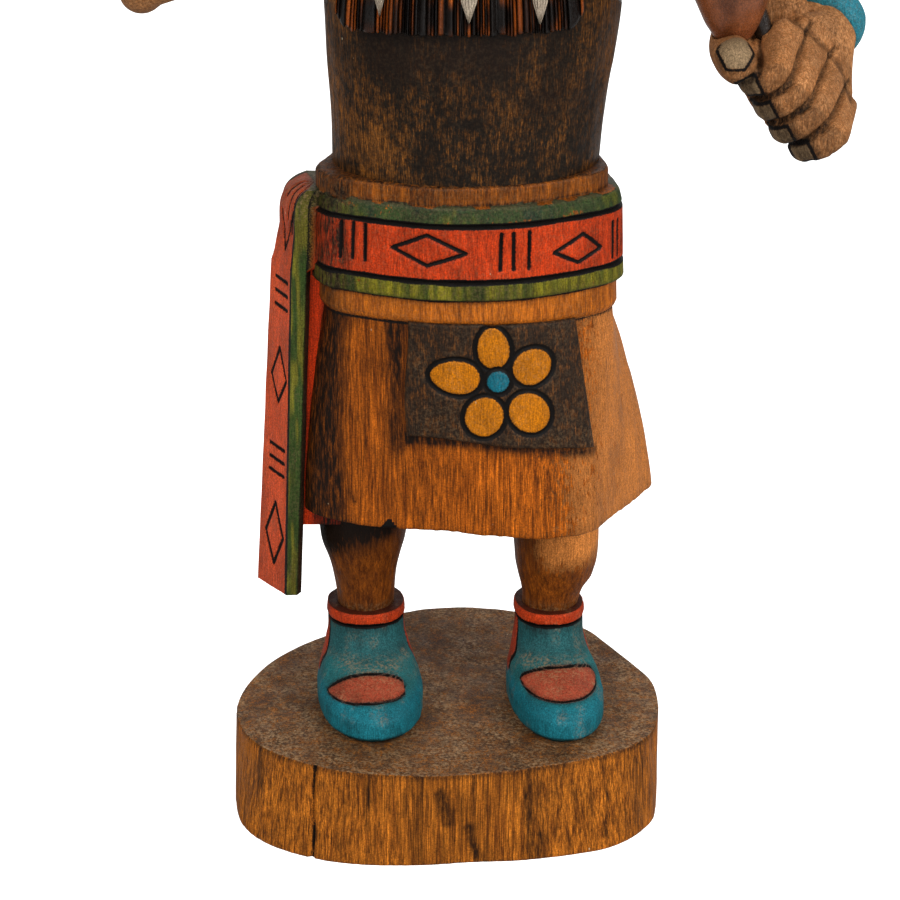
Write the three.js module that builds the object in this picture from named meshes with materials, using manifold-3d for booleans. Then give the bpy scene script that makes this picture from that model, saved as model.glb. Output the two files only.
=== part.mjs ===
// Kachina doll: a carved and painted wooden figure standing on an oval slice of wood.
// Millimetres, +Z up. The origin is the centre of the base's underside.
// The figure faces -Y, so its left hand is on the +X side.

import * as THREE from 'three';
import { mergeVertices } from 'three/addons/utils/BufferGeometryUtils.js';
import Module from 'manifold-3d';

const wasm = await Module();
wasm.setup();

// Base
const baseWidth = 109.6;
const baseDepth = 98;
const baseThickness = 25.4;
const baseEdge = 0.8;

// Figure: its own frame starts on top of the base, and its carving keeps these proportions
const figureHeight = 274;
const size = figureHeight / 274;

// Moccasins and legs
const cuffBottom = 21.7 * size;
const cuffTop = 25.1 * size;
const cuffProud = 0.2 * size;
const leftAnkleX = -21.8 * size;
const rightAnkleX = 25.6 * size;

// Kilt, waistband and belt
const hemHeight = 54.4 * size;
const hemDroop = 1.2 * size;
const waistbandBottom = 109.4 * size;
const waistbandDroop = 1.2 * size;
const beltBottom = 115.8 * size;
const beltTop = 138.2 * size;
const rimTop = 143.2 * size;
const lowBorder = 4.8 * size;
const highBorder = 4.1 * size;
const waistX = 5.5 * size;
const beltHalfWidth = 38 * size;
const beltHalfDepth = 30 * size;
const waistbandInset = 0.9 * size;
const kiltInset = 1.7 * size;
const rimInset = 1.8 * size;
const rimAside = -1.5 * size;

// Carved lines
const lineWidth = 1.1 * size;
const lineDepth = 0.7 * size;

// Apron and flower
const apronBottomZ = 79.9 * size;
const apronDrop = 4.3 * size;
const apronLeft = -10.5 * size;
const apronTopRight = 30.1 * size;
const apronBottomRight = 35.2 * size;
const apronProud = 1.2 * size;
const flowerX = 11.5 * size;
const flowerZ = 95.3 * size;
const flowerDisc = 3.3 * size;

// Hanging belt end
const pendantBottom = 32 * size;
const pendantTop = 138.2 * size;
const webBottom = 50.4 * size;

// Torso, beard, head and hair
const neckHeight = 218.5 * size;
const beardBottom = 178.9 * size;
const beardProud = 3.6 * size;
const beardGrooves = 15;
const headBottom = 210 * size;
const bangsHeight = 247 * size;
const hairBottom = 168 * size;

// Arms and rattle
const shoulderHeight = 197.6 * size;
const leftSeatX = 39.6 * size;
const rightSeatX = -28.6 * size;
const handleRadius = 2.2 * size;
const handleLength = 42 * size;
const handleTop = 10 * size;
const holeGap = 0.3;
const gourdRadius = 13.2 * size;
const gourdLength = 38 * size;

// Materials: natural wood and paint
const wood = (color, roughness = 0.6) => new THREE.MeshStandardMaterial({ color, roughness, metalness: 0 });
const baseWood = wood(0x8a5a30, 0.7);
const figureWood = wood(0xa86a30);
const armWood = wood(0xb07840);
const gourdPaint = wood(0x8a4a2c, 0.4);

const vec = (x, y, z) => new THREE.Vector3(x, y, z);
const mix = THREE.MathUtils.lerp;

// Closed triangle shell of numbered points turned into a solid
function solidOf(points, triangles) {
  const geometry = new THREE.BufferGeometry();
  geometry.setAttribute('position', new THREE.Float32BufferAttribute(points.flatMap(p => [p.x, p.y, p.z]), 3));
  geometry.setIndex(triangles);
  const merged = mergeVertices(geometry, 1e-5);
  return new wasm.Manifold(new wasm.Mesh({
    numProp: 3,
    vertProperties: merged.attributes.position.array,
    triVerts: new Uint32Array(merged.index.array),
  }));
}

// A three.js geometry turned into a solid
function solidOfGeometry(geometry) {
  geometry.deleteAttribute('normal');
  geometry.deleteAttribute('uv');
  const merged = mergeVertices(geometry, 1e-5);
  return new wasm.Manifold(new wasm.Mesh({
    numProp: 3,
    vertProperties: merged.attributes.position.array,
    triVerts: new Uint32Array(merged.index.array),
  }));
}

const join = solids => solids.reduce((sum, solid) => sum.add(solid));

// Solid through a stack of rings that all turn the same way, closed by a fan at each end
function loft(rings) {
  const count = rings[0].length;
  const points = rings.flat();
  const triangles = [];
  for (let level = 0; level + 1 < rings.length; level++) {
    for (let j = 0; j < count; j++) {
      const next = (j + 1) % count;
      const [a, b] = [level * count + j, level * count + next];
      const [c, d] = [b + count, a + count];
      triangles.push(a, b, c, a, c, d);
    }
  }
  const middle = ring => ring.reduce((sum, p) => sum.add(p), vec(0, 0, 0)).divideScalar(count);
  const start = points.push(middle(rings[0])) - 1;
  const end = points.push(middle(rings.at(-1))) - 1;
  const last = (rings.length - 1) * count;
  for (let j = 0; j < count; j++) {
    const next = (j + 1) % count;
    triangles.push(start, next, j, end, last + j, last + next);
  }
  return solidOf(points, triangles);
}

// Point on an oval at an angle; the oval may be turned, squarer than an ellipse, and set out from its size
function ovalPoint({ x, y, a, b, z, turn = 0, power = 2 }, angle, out = 0) {
  const curve = value => Math.sign(value) * Math.abs(value) ** (2 / power);
  const u = (a + out) * curve(Math.cos(angle - turn));
  const v = (b + out) * curve(Math.sin(angle - turn));
  return vec(x + u * Math.cos(turn) - v * Math.sin(turn), y + u * Math.sin(turn) + v * Math.cos(turn), z);
}

function ovalRing(oval, count = 36, out = 0) {
  return Array.from({ length: count }, (_, j) => ovalPoint(oval, (j / count) * 2 * Math.PI, out));
}

// Rounded limb along stations of [x, y, z, half width across, half depth], with soft ends where asked
function limb(stations, across, { sides = 10, softStart = false, softEnd = false } = {}) {
  const spots = stations.map(([x, y, z, w, d]) => ({ at: vec(x, y, z), w, d }));
  const soften = (from, to) => {
    const away = from.at.clone().sub(to.at).normalize();
    const reach = Math.min(from.w, from.d);
    return [0.55, 0.9].map((share, i) => ({
      at: from.at.clone().addScaledVector(away, reach * share),
      w: from.w * [0.82, 0.42][i],
      d: from.d * [0.82, 0.42][i],
    }));
  };
  const path = [...spots];
  if (softStart) path.unshift(...soften(spots[0], spots[1]).reverse());
  if (softEnd) path.push(...soften(spots.at(-1), spots.at(-2)));
  const rings = path.map(({ at, w, d }, i) => {
    const before = path[Math.max(i - 1, 0)].at;
    const after = path[Math.min(i + 1, path.length - 1)].at;
    const along = after.clone().sub(before).normalize();
    const side = across.clone().addScaledVector(along, -across.dot(along)).normalize();
    const up = along.clone().cross(side);
    return Array.from({ length: sides }, (_, j) => {
      const angle = ((j + 0.5) / sides) * 2 * Math.PI;
      return at.clone().addScaledVector(side, w * Math.cos(angle)).addScaledVector(up, d * Math.sin(angle));
    });
  });
  return loft(rings);
}

// Slab between an outer and an inner grid; u runs to +X and v runs up
function slab(outer, inner, across, up) {
  const points = [];
  const number = (face, i, j) => (face * (up + 1) + j) * (across + 1) + i;
  for (const face of [outer, inner]) {
    for (let j = 0; j <= up; j++) {
      for (let i = 0; i <= across; i++) points.push(face(i / across, j / up));
    }
  }
  const triangles = [];
  const quad = (a, b, c, d) => triangles.push(a, b, c, a, c, d);
  for (let j = 0; j < up; j++) {
    for (let i = 0; i < across; i++) {
      quad(number(0, i, j), number(0, i + 1, j), number(0, i + 1, j + 1), number(0, i, j + 1));
      quad(number(1, i, j + 1), number(1, i + 1, j + 1), number(1, i + 1, j), number(1, i, j));
    }
    quad(number(1, 0, j), number(0, 0, j), number(0, 0, j + 1), number(1, 0, j + 1));
    quad(number(0, across, j), number(1, across, j), number(1, across, j + 1), number(0, across, j + 1));
  }
  for (let i = 0; i < across; i++) {
    quad(number(1, i, 0), number(1, i + 1, 0), number(0, i + 1, 0), number(0, i, 0));
    quad(number(0, i, up), number(0, i + 1, up), number(1, i + 1, up), number(1, i, up));
  }
  return solidOf(points, triangles);
}

// Knife cut of V section along spots of { at, out } on a surface, open or closed into a loop
function knifeCut(spots, { width = lineWidth, depth = lineDepth, closed = false } = {}) {
  const lift = depth;
  const rings = spots.map(({ at, out }, i) => {
    const before = closed ? spots.at(i - 1) : spots[Math.max(i - 1, 0)];
    const after = closed ? spots[(i + 1) % spots.length] : spots[Math.min(i + 1, spots.length - 1)];
    const along = after.at.clone().sub(before.at).normalize();
    const side = along.clone().cross(out).normalize();
    const reach = (width / 2) * (1 + lift / depth);
    return [
      at.clone().addScaledVector(out, -depth),
      at.clone().addScaledVector(out, lift).addScaledVector(side, -reach),
      at.clone().addScaledVector(out, lift).addScaledVector(side, reach),
    ];
  });
  if (!closed) return upright(loft(rings));
  const points = rings.flat();
  const triangles = [];
  for (let i = 0; i < rings.length; i++) {
    for (let j = 0; j < 3; j++) {
      const [a, b] = [i * 3 + j, i * 3 + ((j + 1) % 3)];
      const next = ((i + 1) % rings.length) * 3;
      const [c, d] = [next + ((j + 1) % 3), next + j];
      triangles.push(a, b, c, a, c, d);
    }
  }
  return upright(solidOf(points, triangles));
}

// A shell wound the wrong way is turned outside in
function upright(solid) {
  if (solid.volume() > 0) return solid;
  const { vertProperties, triVerts } = solid.getMesh();
  return new wasm.Manifold(new wasm.Mesh({
    numProp: 3,
    vertProperties,
    triVerts: triVerts.slice().reverse(),
  }));
}

// Straight-sided block between two corners
function block(low, high) {
  const extent = high.clone().sub(low);
  const geometry = new THREE.BoxGeometry(extent.x, extent.y, extent.z);
  geometry.translate(...low.clone().add(high).divideScalar(2).toArray());
  return solidOfGeometry(geometry);
}

// Base outline anticlockwise from the right: shares of half its width and half its depth, and
// how far the bark side stands out at the bottom
const baseOutline = [
  [0.98, 0.02, 0], [0.9, 0.25, 0], [0.78, 0.52, 0], [0.66, 0.73, 0], [0.39, 0.91, 0], [0.08, 0.99, 0],
  [-0.24, 0.92, 0], [-0.61, 0.63, 0], [-0.83, 0.37, 0], [-0.95, 0.1, 0.4], [-1.005, -0.15, 0.8],
  [-1.0, -0.36, 1.1], [-0.93, -0.59, 2.3], [-0.77, -0.79, 2.8], [-0.49, -0.95, 1.8], [-0.16, -1.005, 0.3],
  [0.08, -0.99, -0.6],
  [0.35, -0.925, 1.4], [0.69, -0.79, 3], [0.91, -0.59, 1.4], [0.985, -0.3, 0],
];

function makeBase() {
  const curve = new THREE.CatmullRomCurve3(
    baseOutline.map(([x, y, flare]) => vec(x * baseWidth / 2, y * baseDepth / 2, flare)), true);
  const outline = curve.getPoints(48).slice(0, -1);
  const ring = (z, inset) => outline.map(p => {
    const outward = 1 + (p.z * (1 - z / baseThickness) - inset) / Math.hypot(p.x, p.y);
    return vec(p.x * outward, p.y * outward, z);
  });
  return loft([
    ring(0, baseEdge / 2),
    ring(baseEdge, 0),
    ring(baseThickness - baseEdge, 0),
    ring(baseThickness, baseEdge / 2),
  ]);
}

// Moccasin sections: height, reach to the toe, reach to the heel, half width
const moccasin = [
  [0, 31.8, 12.6, 0.9], [2, 34, 13.6, 1], [5.5, 33.8, 13.6, 1.005], [8.4, 31.2, 13.2, 0.965],
  [9.7, 28.8, 13, 0.93], [11.4, 24, 12.7, 0.88], [13, 19.2, 12.2, 0.83], [15, 13.6, 11.6, 0.78],
  [17.5, 11, 11, 0.745], [21.7, 10, 10.3, 0.73],
];

// Point on a moccasin at a height and an angle, in the figure's frame
function moccasinOval({ ankleX, halfWidth, turn }, height) {
  const level = height / size;
  const last = moccasin.length - 1;
  const i = Math.min(last - 1, moccasin.findIndex((row, k) => k === last || moccasin[k + 1][0] >= level));
  const share = THREE.MathUtils.clamp((level - moccasin[i][0]) / (moccasin[i + 1][0] - moccasin[i][0]), 0, 1);
  const [toe, heel, width] = [1, 2, 3].map(k => mix(moccasin[i][k], moccasin[i + 1][k], share));
  const middle = (toe - heel) / 2 * size;
  return {
    x: ankleX + middle * Math.sin(turn),
    y: -middle * Math.cos(turn),
    z: height,
    a: width * halfWidth,
    b: (toe + heel) / 2 * size,
    turn,
    power: 2.2,
  };
}

// Leg stations: height, centre beside the ankle, half width, half depth
const leftLeg = [
  [24, 0, 7.6, 7.8], [28, 0, 7.9, 8.2], [36, -0.3, 9.1, 9.8], [45, -0.5, 11.4, 11.6], [60, -0.4, 12.8, 12.4],
];
const rightLeg = [
  [24, 0.2, 7.4, 7.8], [28, 0.6, 8, 8.4], [33, 1.5, 10, 9.8], [38, 1.7, 11, 11.2], [60, 0.7, 11.8, 12.4],
];

// Red patch over each instep: its middle and half height, its rise to the right and droop at the ends, and
// its middle and reach in radians
const leftPatch = { middle: 11.2, half: 1.7, rise: 0.8, droop: 1.4, aside: -0.22, reach: 0.9 };
const rightPatch = { middle: 11.8, half: 2, rise: 0.2, droop: 1, aside: -0.05, reach: 1.1 };

function makeFoot(ankleX, halfWidth, turn, leg, patch) {
  const foot = { ankleX, halfWidth, turn };
  const shaft = moccasinOval(foot, cuffBottom);
  const cuff = (z, out) => ovalRing({ ...shaft, z }, 18, out);
  const rings = moccasin.slice(0, -1).map(([z]) => ovalRing(moccasinOval(foot, z * size), 18));
  rings.push(cuff(cuffBottom, -0.5 * size), cuff(cuffBottom + 0.3 * size, cuffProud));
  rings.push(cuff(cuffTop - 0.3 * size, cuffProud), cuff(cuffTop, 0));
  const shin = loft(leg.map(([z, x, a, b]) => ovalRing(
    { x: ankleX + x * size, y: 0, z: z * size, a: a * size, b: b * size }, 12)));

  // The red patch over the instep, pointed at its left and blunt at its right, is outlined by a knife
  const lens = [];
  const lensSteps = 10;
  for (let j = 0; j < lensSteps; j++) {
    const round = (j / lensSteps) * 2 * Math.PI;
    const swell = Math.sign(Math.sin(round)) * Math.abs(Math.sin(round)) ** (Math.cos(round) < 0 ? 1.2 : 0.6);
    const along = Math.cos(round);
    const height = (patch.middle + patch.half * swell + patch.rise * along - patch.droop * along ** 2) * size;
    const angle = -Math.PI / 2 + turn + patch.aside + patch.reach * along;
    const at = ovalPoint(moccasinOval(foot, height), angle);
    const out = vec(Math.cos(angle) * 0.5, Math.sin(angle) * 0.5, 0.8).normalize();
    lens.push({ at, out });
  }
  return loft(rings).subtract(knifeCut(lens, { width: 0.9 * size, depth: 0.5 * size, closed: true })).add(shin);
}

// Kilt hem seen from above, anticlockwise from the right
const hemOutline = [
  [52.2, 10], [46, 27], [30, 37], [8, 38.5], [-16, 35], [-32, 22], [-37.6, 4], [-35.7, -13],
  [-22.2, -21.7], [-2.5, -25.4], [14.7, -27.9], [27, -27], [35.4, -22.6], [42.6, -10.5], [49.6, 1.5],
];

// Waist seen from above, anticlockwise from the right, as shares of the belt's half width and half depth
const waistOutline = [
  [0.92, 0.06], [0.86, 0.34], [0.68, 0.64], [0.4, 0.9], [0.03, 1], [-0.34, 0.97], [-0.63, 0.8], [-0.85, 0.45],
  [-0.95, 0.04], [-1.01, -0.3], [-0.92, -0.6], [-0.75, -0.74], [-0.53, -0.87], [-0.27, -0.98], [-0.02, -1],
  [0.25, -0.96], [0.51, -0.83], [0.77, -0.63], [0.895, -0.48], [0.95, -0.28],
];
const waistCurve = new THREE.CatmullRomCurve3(
  waistOutline.map(([x, y]) => vec(x * beltHalfWidth, y * beltHalfDepth, 0)), true);
const waistDirections = waistCurve.getPoints(120).slice(0, -1);

// Point of the waist in a direction from its middle, set out from the outline
function waistPoint(angle, z, out = 0) {
  const side = p => p.y * Math.cos(angle) - p.x * Math.sin(angle);
  const ahead = p => p.x * Math.cos(angle) + p.y * Math.sin(angle);
  for (let j = 0; j < waistDirections.length; j++) {
    const [p, q] = [waistDirections[j], waistDirections[(j + 1) % waistDirections.length]];
    if (side(p) <= 0 && side(q) > 0 && ahead(p) > 0) {
      const reach = ahead(p.clone().lerp(q, side(p) / (side(p) - side(q)))) + out;
      return vec(waistX + reach * Math.cos(angle), reach * Math.sin(angle), z);
    }
  }
}

// How far the waistband's lower edge hangs down at a given x
const waistbandHang = x => waistbandDroop * THREE.MathUtils.smoothstep(x, -5 * size, 30 * size);

// Section of the waist at a height, set out from the outline and moved aside
function waistRing(z, out, aside = 0) {
  return waistCurve.getPoints(38).slice(0, -1).map(p => {
    const outward = 1 + out / Math.hypot(p.x, p.y);
    const hang = z < beltBottom - size ? waistbandHang(p.x) : 0;
    return vec(waistX + p.x * outward + aside, p.y * outward, z - hang);
  });
}

// Kilt section at a height: the waist's outline widens into the hem's, which droops to its right
function kiltRing(z, out = 0) {
  const curve = new THREE.CatmullRomCurve3(hemOutline.map(([x, y]) => vec(x * size, y * size, 0)), true);
  const hem = curve.getPoints(32).slice(0, -1);
  const rise = THREE.MathUtils.clamp((z - hemHeight) / (waistbandBottom - hemHeight), 0, 1);
  const flare = 1 - rise ** 1.45;
  return hem.map(p => {
    const angle = Math.atan2(p.y, p.x - waistX);
    const waist = waistPoint(angle, z, -kiltInset);
    const spot = waist.clone().lerp(vec(p.x, p.y, z), flare);
    const reach = Math.hypot(spot.x - waistX, spot.y);
    const droop = hemDroop * flare * THREE.MathUtils.smoothstep(spot.x, -5 * size, 30 * size);
    return vec(waistX + (spot.x - waistX) * (1 + out / reach), spot.y * (1 + out / reach), z - droop);
  });
}

// Depth of a ring's front at a given x
function frontOf(ring, x) {
  let front = Infinity;
  ring.forEach((p, j) => {
    const q = ring[(j + 1) % ring.length];
    if ((p.x - x) * (q.x - x) <= 0 && p.x !== q.x) {
      front = Math.min(front, mix(p.y, q.y, (x - p.x) / (q.x - p.x)));
    }
  });
  return front;
}

function makeKilt() {
  const levels = [0, 0.03, 0.18, 0.4, 0.62, 0.82, 1];
  const rings = levels.map(t => kiltRing(mix(hemHeight, waistbandBottom, t), t === 0 ? -0.8 * size : 0));
  rings.push(kiltRing(waistbandBottom + size));
  return loft(rings);
}

// Waistband, belt with its painted borders cut in, and the rim above it, as one turned stack
function makeWaist() {
  const lowLine = beltBottom + lowBorder;
  const highLine = beltTop - highBorder;
  const line = lineWidth / 2;
  const stack = [
    [waistbandBottom - 0.4 * size, -kiltInset - size],
    [waistbandBottom, -waistbandInset - size],
    [waistbandBottom + 1.6 * size, -waistbandInset],
    [beltBottom - 0.2 * size, -waistbandInset - 0.2 * size],
    [beltBottom + 0.3 * size, 0.7 * size],
    [lowLine - line, 0.5 * size],
    [lowLine, 0.45 * size - lineDepth],
    [lowLine + line, 0.4 * size],
    [highLine - line, 0],
    [highLine, -0.1 * size - lineDepth],
    [highLine + line, -0.2 * size],
    [beltTop - 1.2 * size, -0.8 * size],
    [beltTop, -rimInset + 0.6 * size, rimAside / 2],
    [beltTop + 0.2 * size, -rimInset - 0.4 * size, rimAside],
    [rimTop - 0.8 * size, -rimInset - 0.4 * size, rimAside],
    [rimTop, -rimInset - 1.4 * size, rimAside],
  ];
  return loft(stack.map(([z, out, aside]) => waistRing(z, out, aside)));
}

// Motifs round the belt, bars and diamonds in turn: direction and half width in degrees
const motifs = [
  [-142, 4.7], [-109.7, 16.2], [-71.4, 6.5], [-41.7, 11], [-20.5, 3.8], [6, 13], [36, 6], [66, 13], [96, 5],
  [126, 13], [154, 5],
];

// The motifs' cuts in the belt's middle band
function makeMotifs() {
  const low = beltBottom + lowBorder;
  const high = beltTop - highBorder;
  const middle = (low + high) / 2;
  const bandHalf = (high - low) / 2;
  const spot = (angle, z) => ({
    at: waistPoint(angle, z, 0.1 * size),
    out: vec(Math.cos(angle), Math.sin(angle), 0),
  });
  const cuts = [];
  motifs.forEach(([degrees, half], k) => {
    const angle = THREE.MathUtils.degToRad(degrees);
    const wide = THREE.MathUtils.degToRad(half);
    if (k % 2) {
      const tall = bandHalf * 0.56;
      cuts.push(knifeCut([
        spot(angle - wide, middle), spot(angle, middle + tall),
        spot(angle + wide, middle), spot(angle, middle - tall),
      ], { closed: true }));
    } else {
      for (const side of [-1, 0, 1]) {
        const bar = angle + side * wide;
        cuts.push(knifeCut([spot(bar, middle - bandHalf * 0.68), spot(bar, middle + bandHalf * 0.68)]));
      }
    }
  });
  return join(cuts);
}

// Apron on the kilt's front, lower on its right
const apronPoint = (u, v, out) => {
  const x = mix(apronLeft, mix(apronBottomRight, apronTopRight, v), u);
  const z = mix(apronBottomZ - apronDrop * u ** 2, waistbandBottom + 0.6 * size - waistbandHang(x - waistX), v);
  return vec(x, frontOf(kiltRing(z), x) - out, z);
};

function makeApron() {
  return slab((u, v) => apronPoint(u, v, apronProud), (u, v) => apronPoint(u, v, -2 * size), 8, 4);
}

// Petals: direction in degrees, distance from the flower's centre, half length, half width
const petals = [
  [98, 8.6, 5.4, 4], [22, 8.9, 4.9, 4.6], [-47, 11.2, 5.6, 4.8], [-110, 9.6, 5.3, 4.8], [174, 10.4, 6.2, 4.4],
];

function makeFlowerCuts() {
  const spot = (x, z) => ({
    at: vec(x, frontOf(kiltRing(z), x) - apronProud, z),
    out: vec(0.12, -1, 0.05).normalize(),
  });
  const ringCut = (x, z, along, halfLong, halfWide, steps) => knifeCut(
    Array.from({ length: steps }, (_, j) => {
      const round = (j / steps) * 2 * Math.PI;
      const u = halfLong * Math.cos(round);
      const v = halfWide * Math.sin(round);
      return spot(x + u * Math.cos(along) - v * Math.sin(along), z + u * Math.sin(along) + v * Math.cos(along));
    }), { closed: true });
  const cuts = petals.map(([degrees, far, halfLong, halfWide]) => {
    const along = THREE.MathUtils.degToRad(degrees);
    const [x, z] = [flowerX + far * size * Math.cos(along), flowerZ + far * size * Math.sin(along)];
    return ringCut(x, z, along, halfLong * size, halfWide * size, 8);
  });
  cuts.push(ringCut(flowerX, flowerZ, 0, flowerDisc, flowerDisc, 6));
  return join(cuts);
}

// Hanging belt end: six corners round each section, from the front right round the outer face to the rear right
const pendantTopX = [-33.6, -34.6, -38.2, -43.9, -43.6, -39];
const pendantLean = [4.1, 4.1, 3.2, 5.6, 5, 4.4];
const pendantDepths = [-11.4, -13.2, -13.4, -2.4, 5, 5.4];

function makePendant() {
  const ring = (z, across) => across.map((x, i) => vec(x * size, pendantDepths[i] * size, z)).reverse();
  const hanging = t => pendantTopX.map((x, i) => x - pendantLean[i] * (1 - t));
  // Over the belt the band folds inwards to the waist
  const inside = -24;
  const folded = turn => {
    const tuck = 2.2 * Math.min(1, turn * 2.2) + 6.8 * turn ** 6;
    return [inside, -34.6 + tuck / 3, -38.2 + tuck / 2, -43.6 + tuck, -43.3 + tuck, inside];
  };
  const foldStart = beltBottom + 2 * size;
  const end = [0, 0.3, 0.62, 0.9].map(t => ring(mix(pendantBottom, foldStart, t), hanging(t)));
  end.push(ring(foldStart, hanging(1)));
  const fold = [0, 0.5, 0.78, 0.93, 1].map(t => ring(mix(foldStart + 0.2 * size, pendantTop, t), folded(t)));
  const web = slab(
    (u, v) => vec(mix(-39 - 2 * (1 - v), -26, u) * size, -10.4 * size, mix(webBottom, foldStart, v)),
    (u, v) => vec(mix(-41 - 3 * (1 - v), -26, u) * size, 3 * size, mix(webBottom, foldStart, v)), 1, 1);
  return loft([...end, ...fold]).add(web);
}

// Torso sections: height, centre x, half width, half depth, forward shift
const torso = [
  [142, 3.8, 32.4, 26.7, 0.4], [158, 4.4, 33.3, 27.2, 0.5], [170, 5, 34.6, 27.6, 0.6],
  [182, 5.4, 35.5, 27.8, 0.6], [194, 5.5, 36, 26.6, 0.5], [202, 5.5, 35.2, 24.6, 0.3],
  [209, 5.5, 31.4, 21.2, 0], [214, 5.5, 25, 18, 0], [218.5, 5.2, 15.6, 14.6, 0],
];

function torsoOval(row, out = 0) {
  const [z, x, a, b, forward] = row.map(value => value * size);
  return { x, y: -forward, z, a: a + out, b: b + out, turn: 0.05, power: 2.1 };
}

function makeTorso() {
  const body = loft(torso.map(row => ovalRing(torsoOval(row), 28)));
  const neck = loft([neckHeight - 4 * size, neckHeight + 10 * size].map(
    z => ovalRing({ x: 5 * size, y: 0, z, a: 14 * size, b: 13.4 * size }, 16)));
  const wide = 16 * size;
  const seat = (from, to) => block(
    vec(Math.min(from, to), -wide, shoulderHeight - wide),
    vec(Math.max(from, to), wide, shoulderHeight + wide));
  const seats = seat(leftSeatX, leftSeatX + wide).add(seat(rightSeatX, rightSeatX - wide));
  return body.add(neck).subtract(seats);
}

// Beard: grooved down its front, rounded at its lower corners, hanging from the mask over the chest
function beardFront(u, v, out) {
  const sideways = 2 * u - 1;
  const corner = Math.max(0, Math.abs(sideways) - 0.86) / 0.14;
  const bottom = beardBottom + 3.4 * size * corner ** 2;
  const z = mix(bottom, headBottom + 6 * size, v);
  const x = (2.2 + mix(28.4, 21, v ** 1.6) * sideways) * size;
  const chest = mix(28.4, 25, v ** 1.4) * size * Math.sqrt(1 - (0.74 * sideways) ** 2);
  return vec(x, -chest - out, z);
}

function makeBeard() {
  const across = beardGrooves * 2;
  const outer = (u, v) => {
    const groove = Math.round(u * across) % 2 ? 0 : 0.9 * size;
    return beardFront(u, v, beardProud - (v > 0 ? groove : 0.5 * size));
  };
  return slab(outer, (u, v) => beardFront(u, v, -6 * size), across, 3);
}

// White feather tips hanging on the beard: centre x, height of the tip, half width
const feathers = [[-16.2, 183.6, 2.4], [4.3, 182.6, 2.9], [20.6, 181.6, 2.9]];

function makeFeather([x, tip, half]) {
  const outline = [[0, 0], [0.62, 4.5], [1, 12], [0.9, 20], [0, 27], [-0.9, 20], [-1, 12], [-0.62, 4.5]];
  const shape = new THREE.Shape(outline.map(([u, v]) => new THREE.Vector2(u * half * size, v * size)));
  const leaf = new THREE.ExtrudeGeometry(shape, { depth: 5 * size, bevelEnabled: false });
  const share = (x - 2.2) / 56.8 + 0.5;
  const face = beardFront(share, (tip - 174) / 60, beardProud + 0.9 * size);
  leaf.rotateX(Math.PI / 2);
  leaf.rotateZ(THREE.MathUtils.degToRad(x * 1.2));
  leaf.translate(face.x, face.y + 5 * size, tip * size);
  return solidOfGeometry(leaf);
}

// Head sections: height, half width, half depth
const head = [
  [210, 20, 19.6], [214, 24.4, 24], [224, 26, 25.4], [238, 26.6, 26], [250, 25.6, 25], [260, 21, 21],
  [266, 12, 12],
];
const headX = 4.6 * size;

function makeHead() {
  const mask = loft(head.map(([z, a, b]) => ovalRing(
    { x: headX, y: -size, z: z * size, a: a * size, b: b * size }, 20)));
  const eye = side => block(
    vec(headX + (side * 10 - 4.4) * size, -40 * size, 235.4 * size),
    vec(headX + (side * 10 + 4.4) * size, -21.6 * size, 237.4 * size));
  return mask.subtract(eye(-1)).subtract(eye(1));
}

// Above this height the hair is smooth
const crownHeight = 268;

// Hair: covers the crown, falls down the back in locks, and leaves the mask open below the bangs
const hairRows = [
  [172, 0.5, 24.5, 9, 26.5], [190, 1, 26, 10.5, 24.5], [206, 2, 27, 14, 18], [216, 3, 27.8, 21, 8],
  [232, 4, 29, 26.6, 2.6], [246, 4.6, 28.8, 27.4, 0], [256, 4.6, 26, 25.4, 0], [265, 4.6, 19.6, 19.6, 0],
  [271, 4.6, 11, 11, 0], [274, 4.6, 3, 3, 0],
];

function makeHair() {
  const count = 32;
  const ends = [hairBottom / size, 0.5, 23, 8, 26.5];
  const rings = [ends, ...hairRows].map(([z, x, a, b, back]) => {
    const groove = z > crownHeight ? 0 : 0.9 * size;
    return Array.from({ length: count }, (_, j) => ovalPoint(
      { x: x * size, y: back * size, z: z * size, a: a * size, b: b * size, power: 2.3 },
      (j / count) * 2 * Math.PI, j % 2 ? -groove : 0));
  });
  const face = block(
    vec(headX - 23 * size, -60 * size, hairBottom - size),
    vec(headX + 23 * size, -9 * size, bangsHeight));
  return loft(rings).subtract(face);
}

function makeFigure() {
  const parts = [
    makeFoot(leftAnkleX, 13.5 * size, 0.11, leftLeg, leftPatch),
    makeFoot(rightAnkleX, 12 * size, 0.13, rightLeg, rightPatch),
    makeKilt(),
    makeWaist().subtract(makeMotifs()),
    makeApron(),
    makePendant(),
    makeTorso(),
    makeHead(),
    makeHair(),
    makeBeard(),
    ...feathers.map(makeFeather),
  ];
  return join(parts).subtract(makeFlowerCuts());
}

// Fist in its own frame: Z to the forefinger's side, X to the knuckles, -Y to the finger bends.
// Fingers: x and z of the knuckle, of the middle bend and of the last bend, then x of the tip
const fingers = [
  [4.6, -2.8, -2.6, -8, -6.4, -7.6, -7.2],
  [7.6, -9.6, -0.8, -14.2, -5.4, -14.6, -6.6],
  [8.9, -16.8, 0.4, -20.6, -4.4, -21.2, -5.8],
  [8.2, -24.2, 2, -27.2, -2.4, -27.2, -3.8],
];

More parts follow.
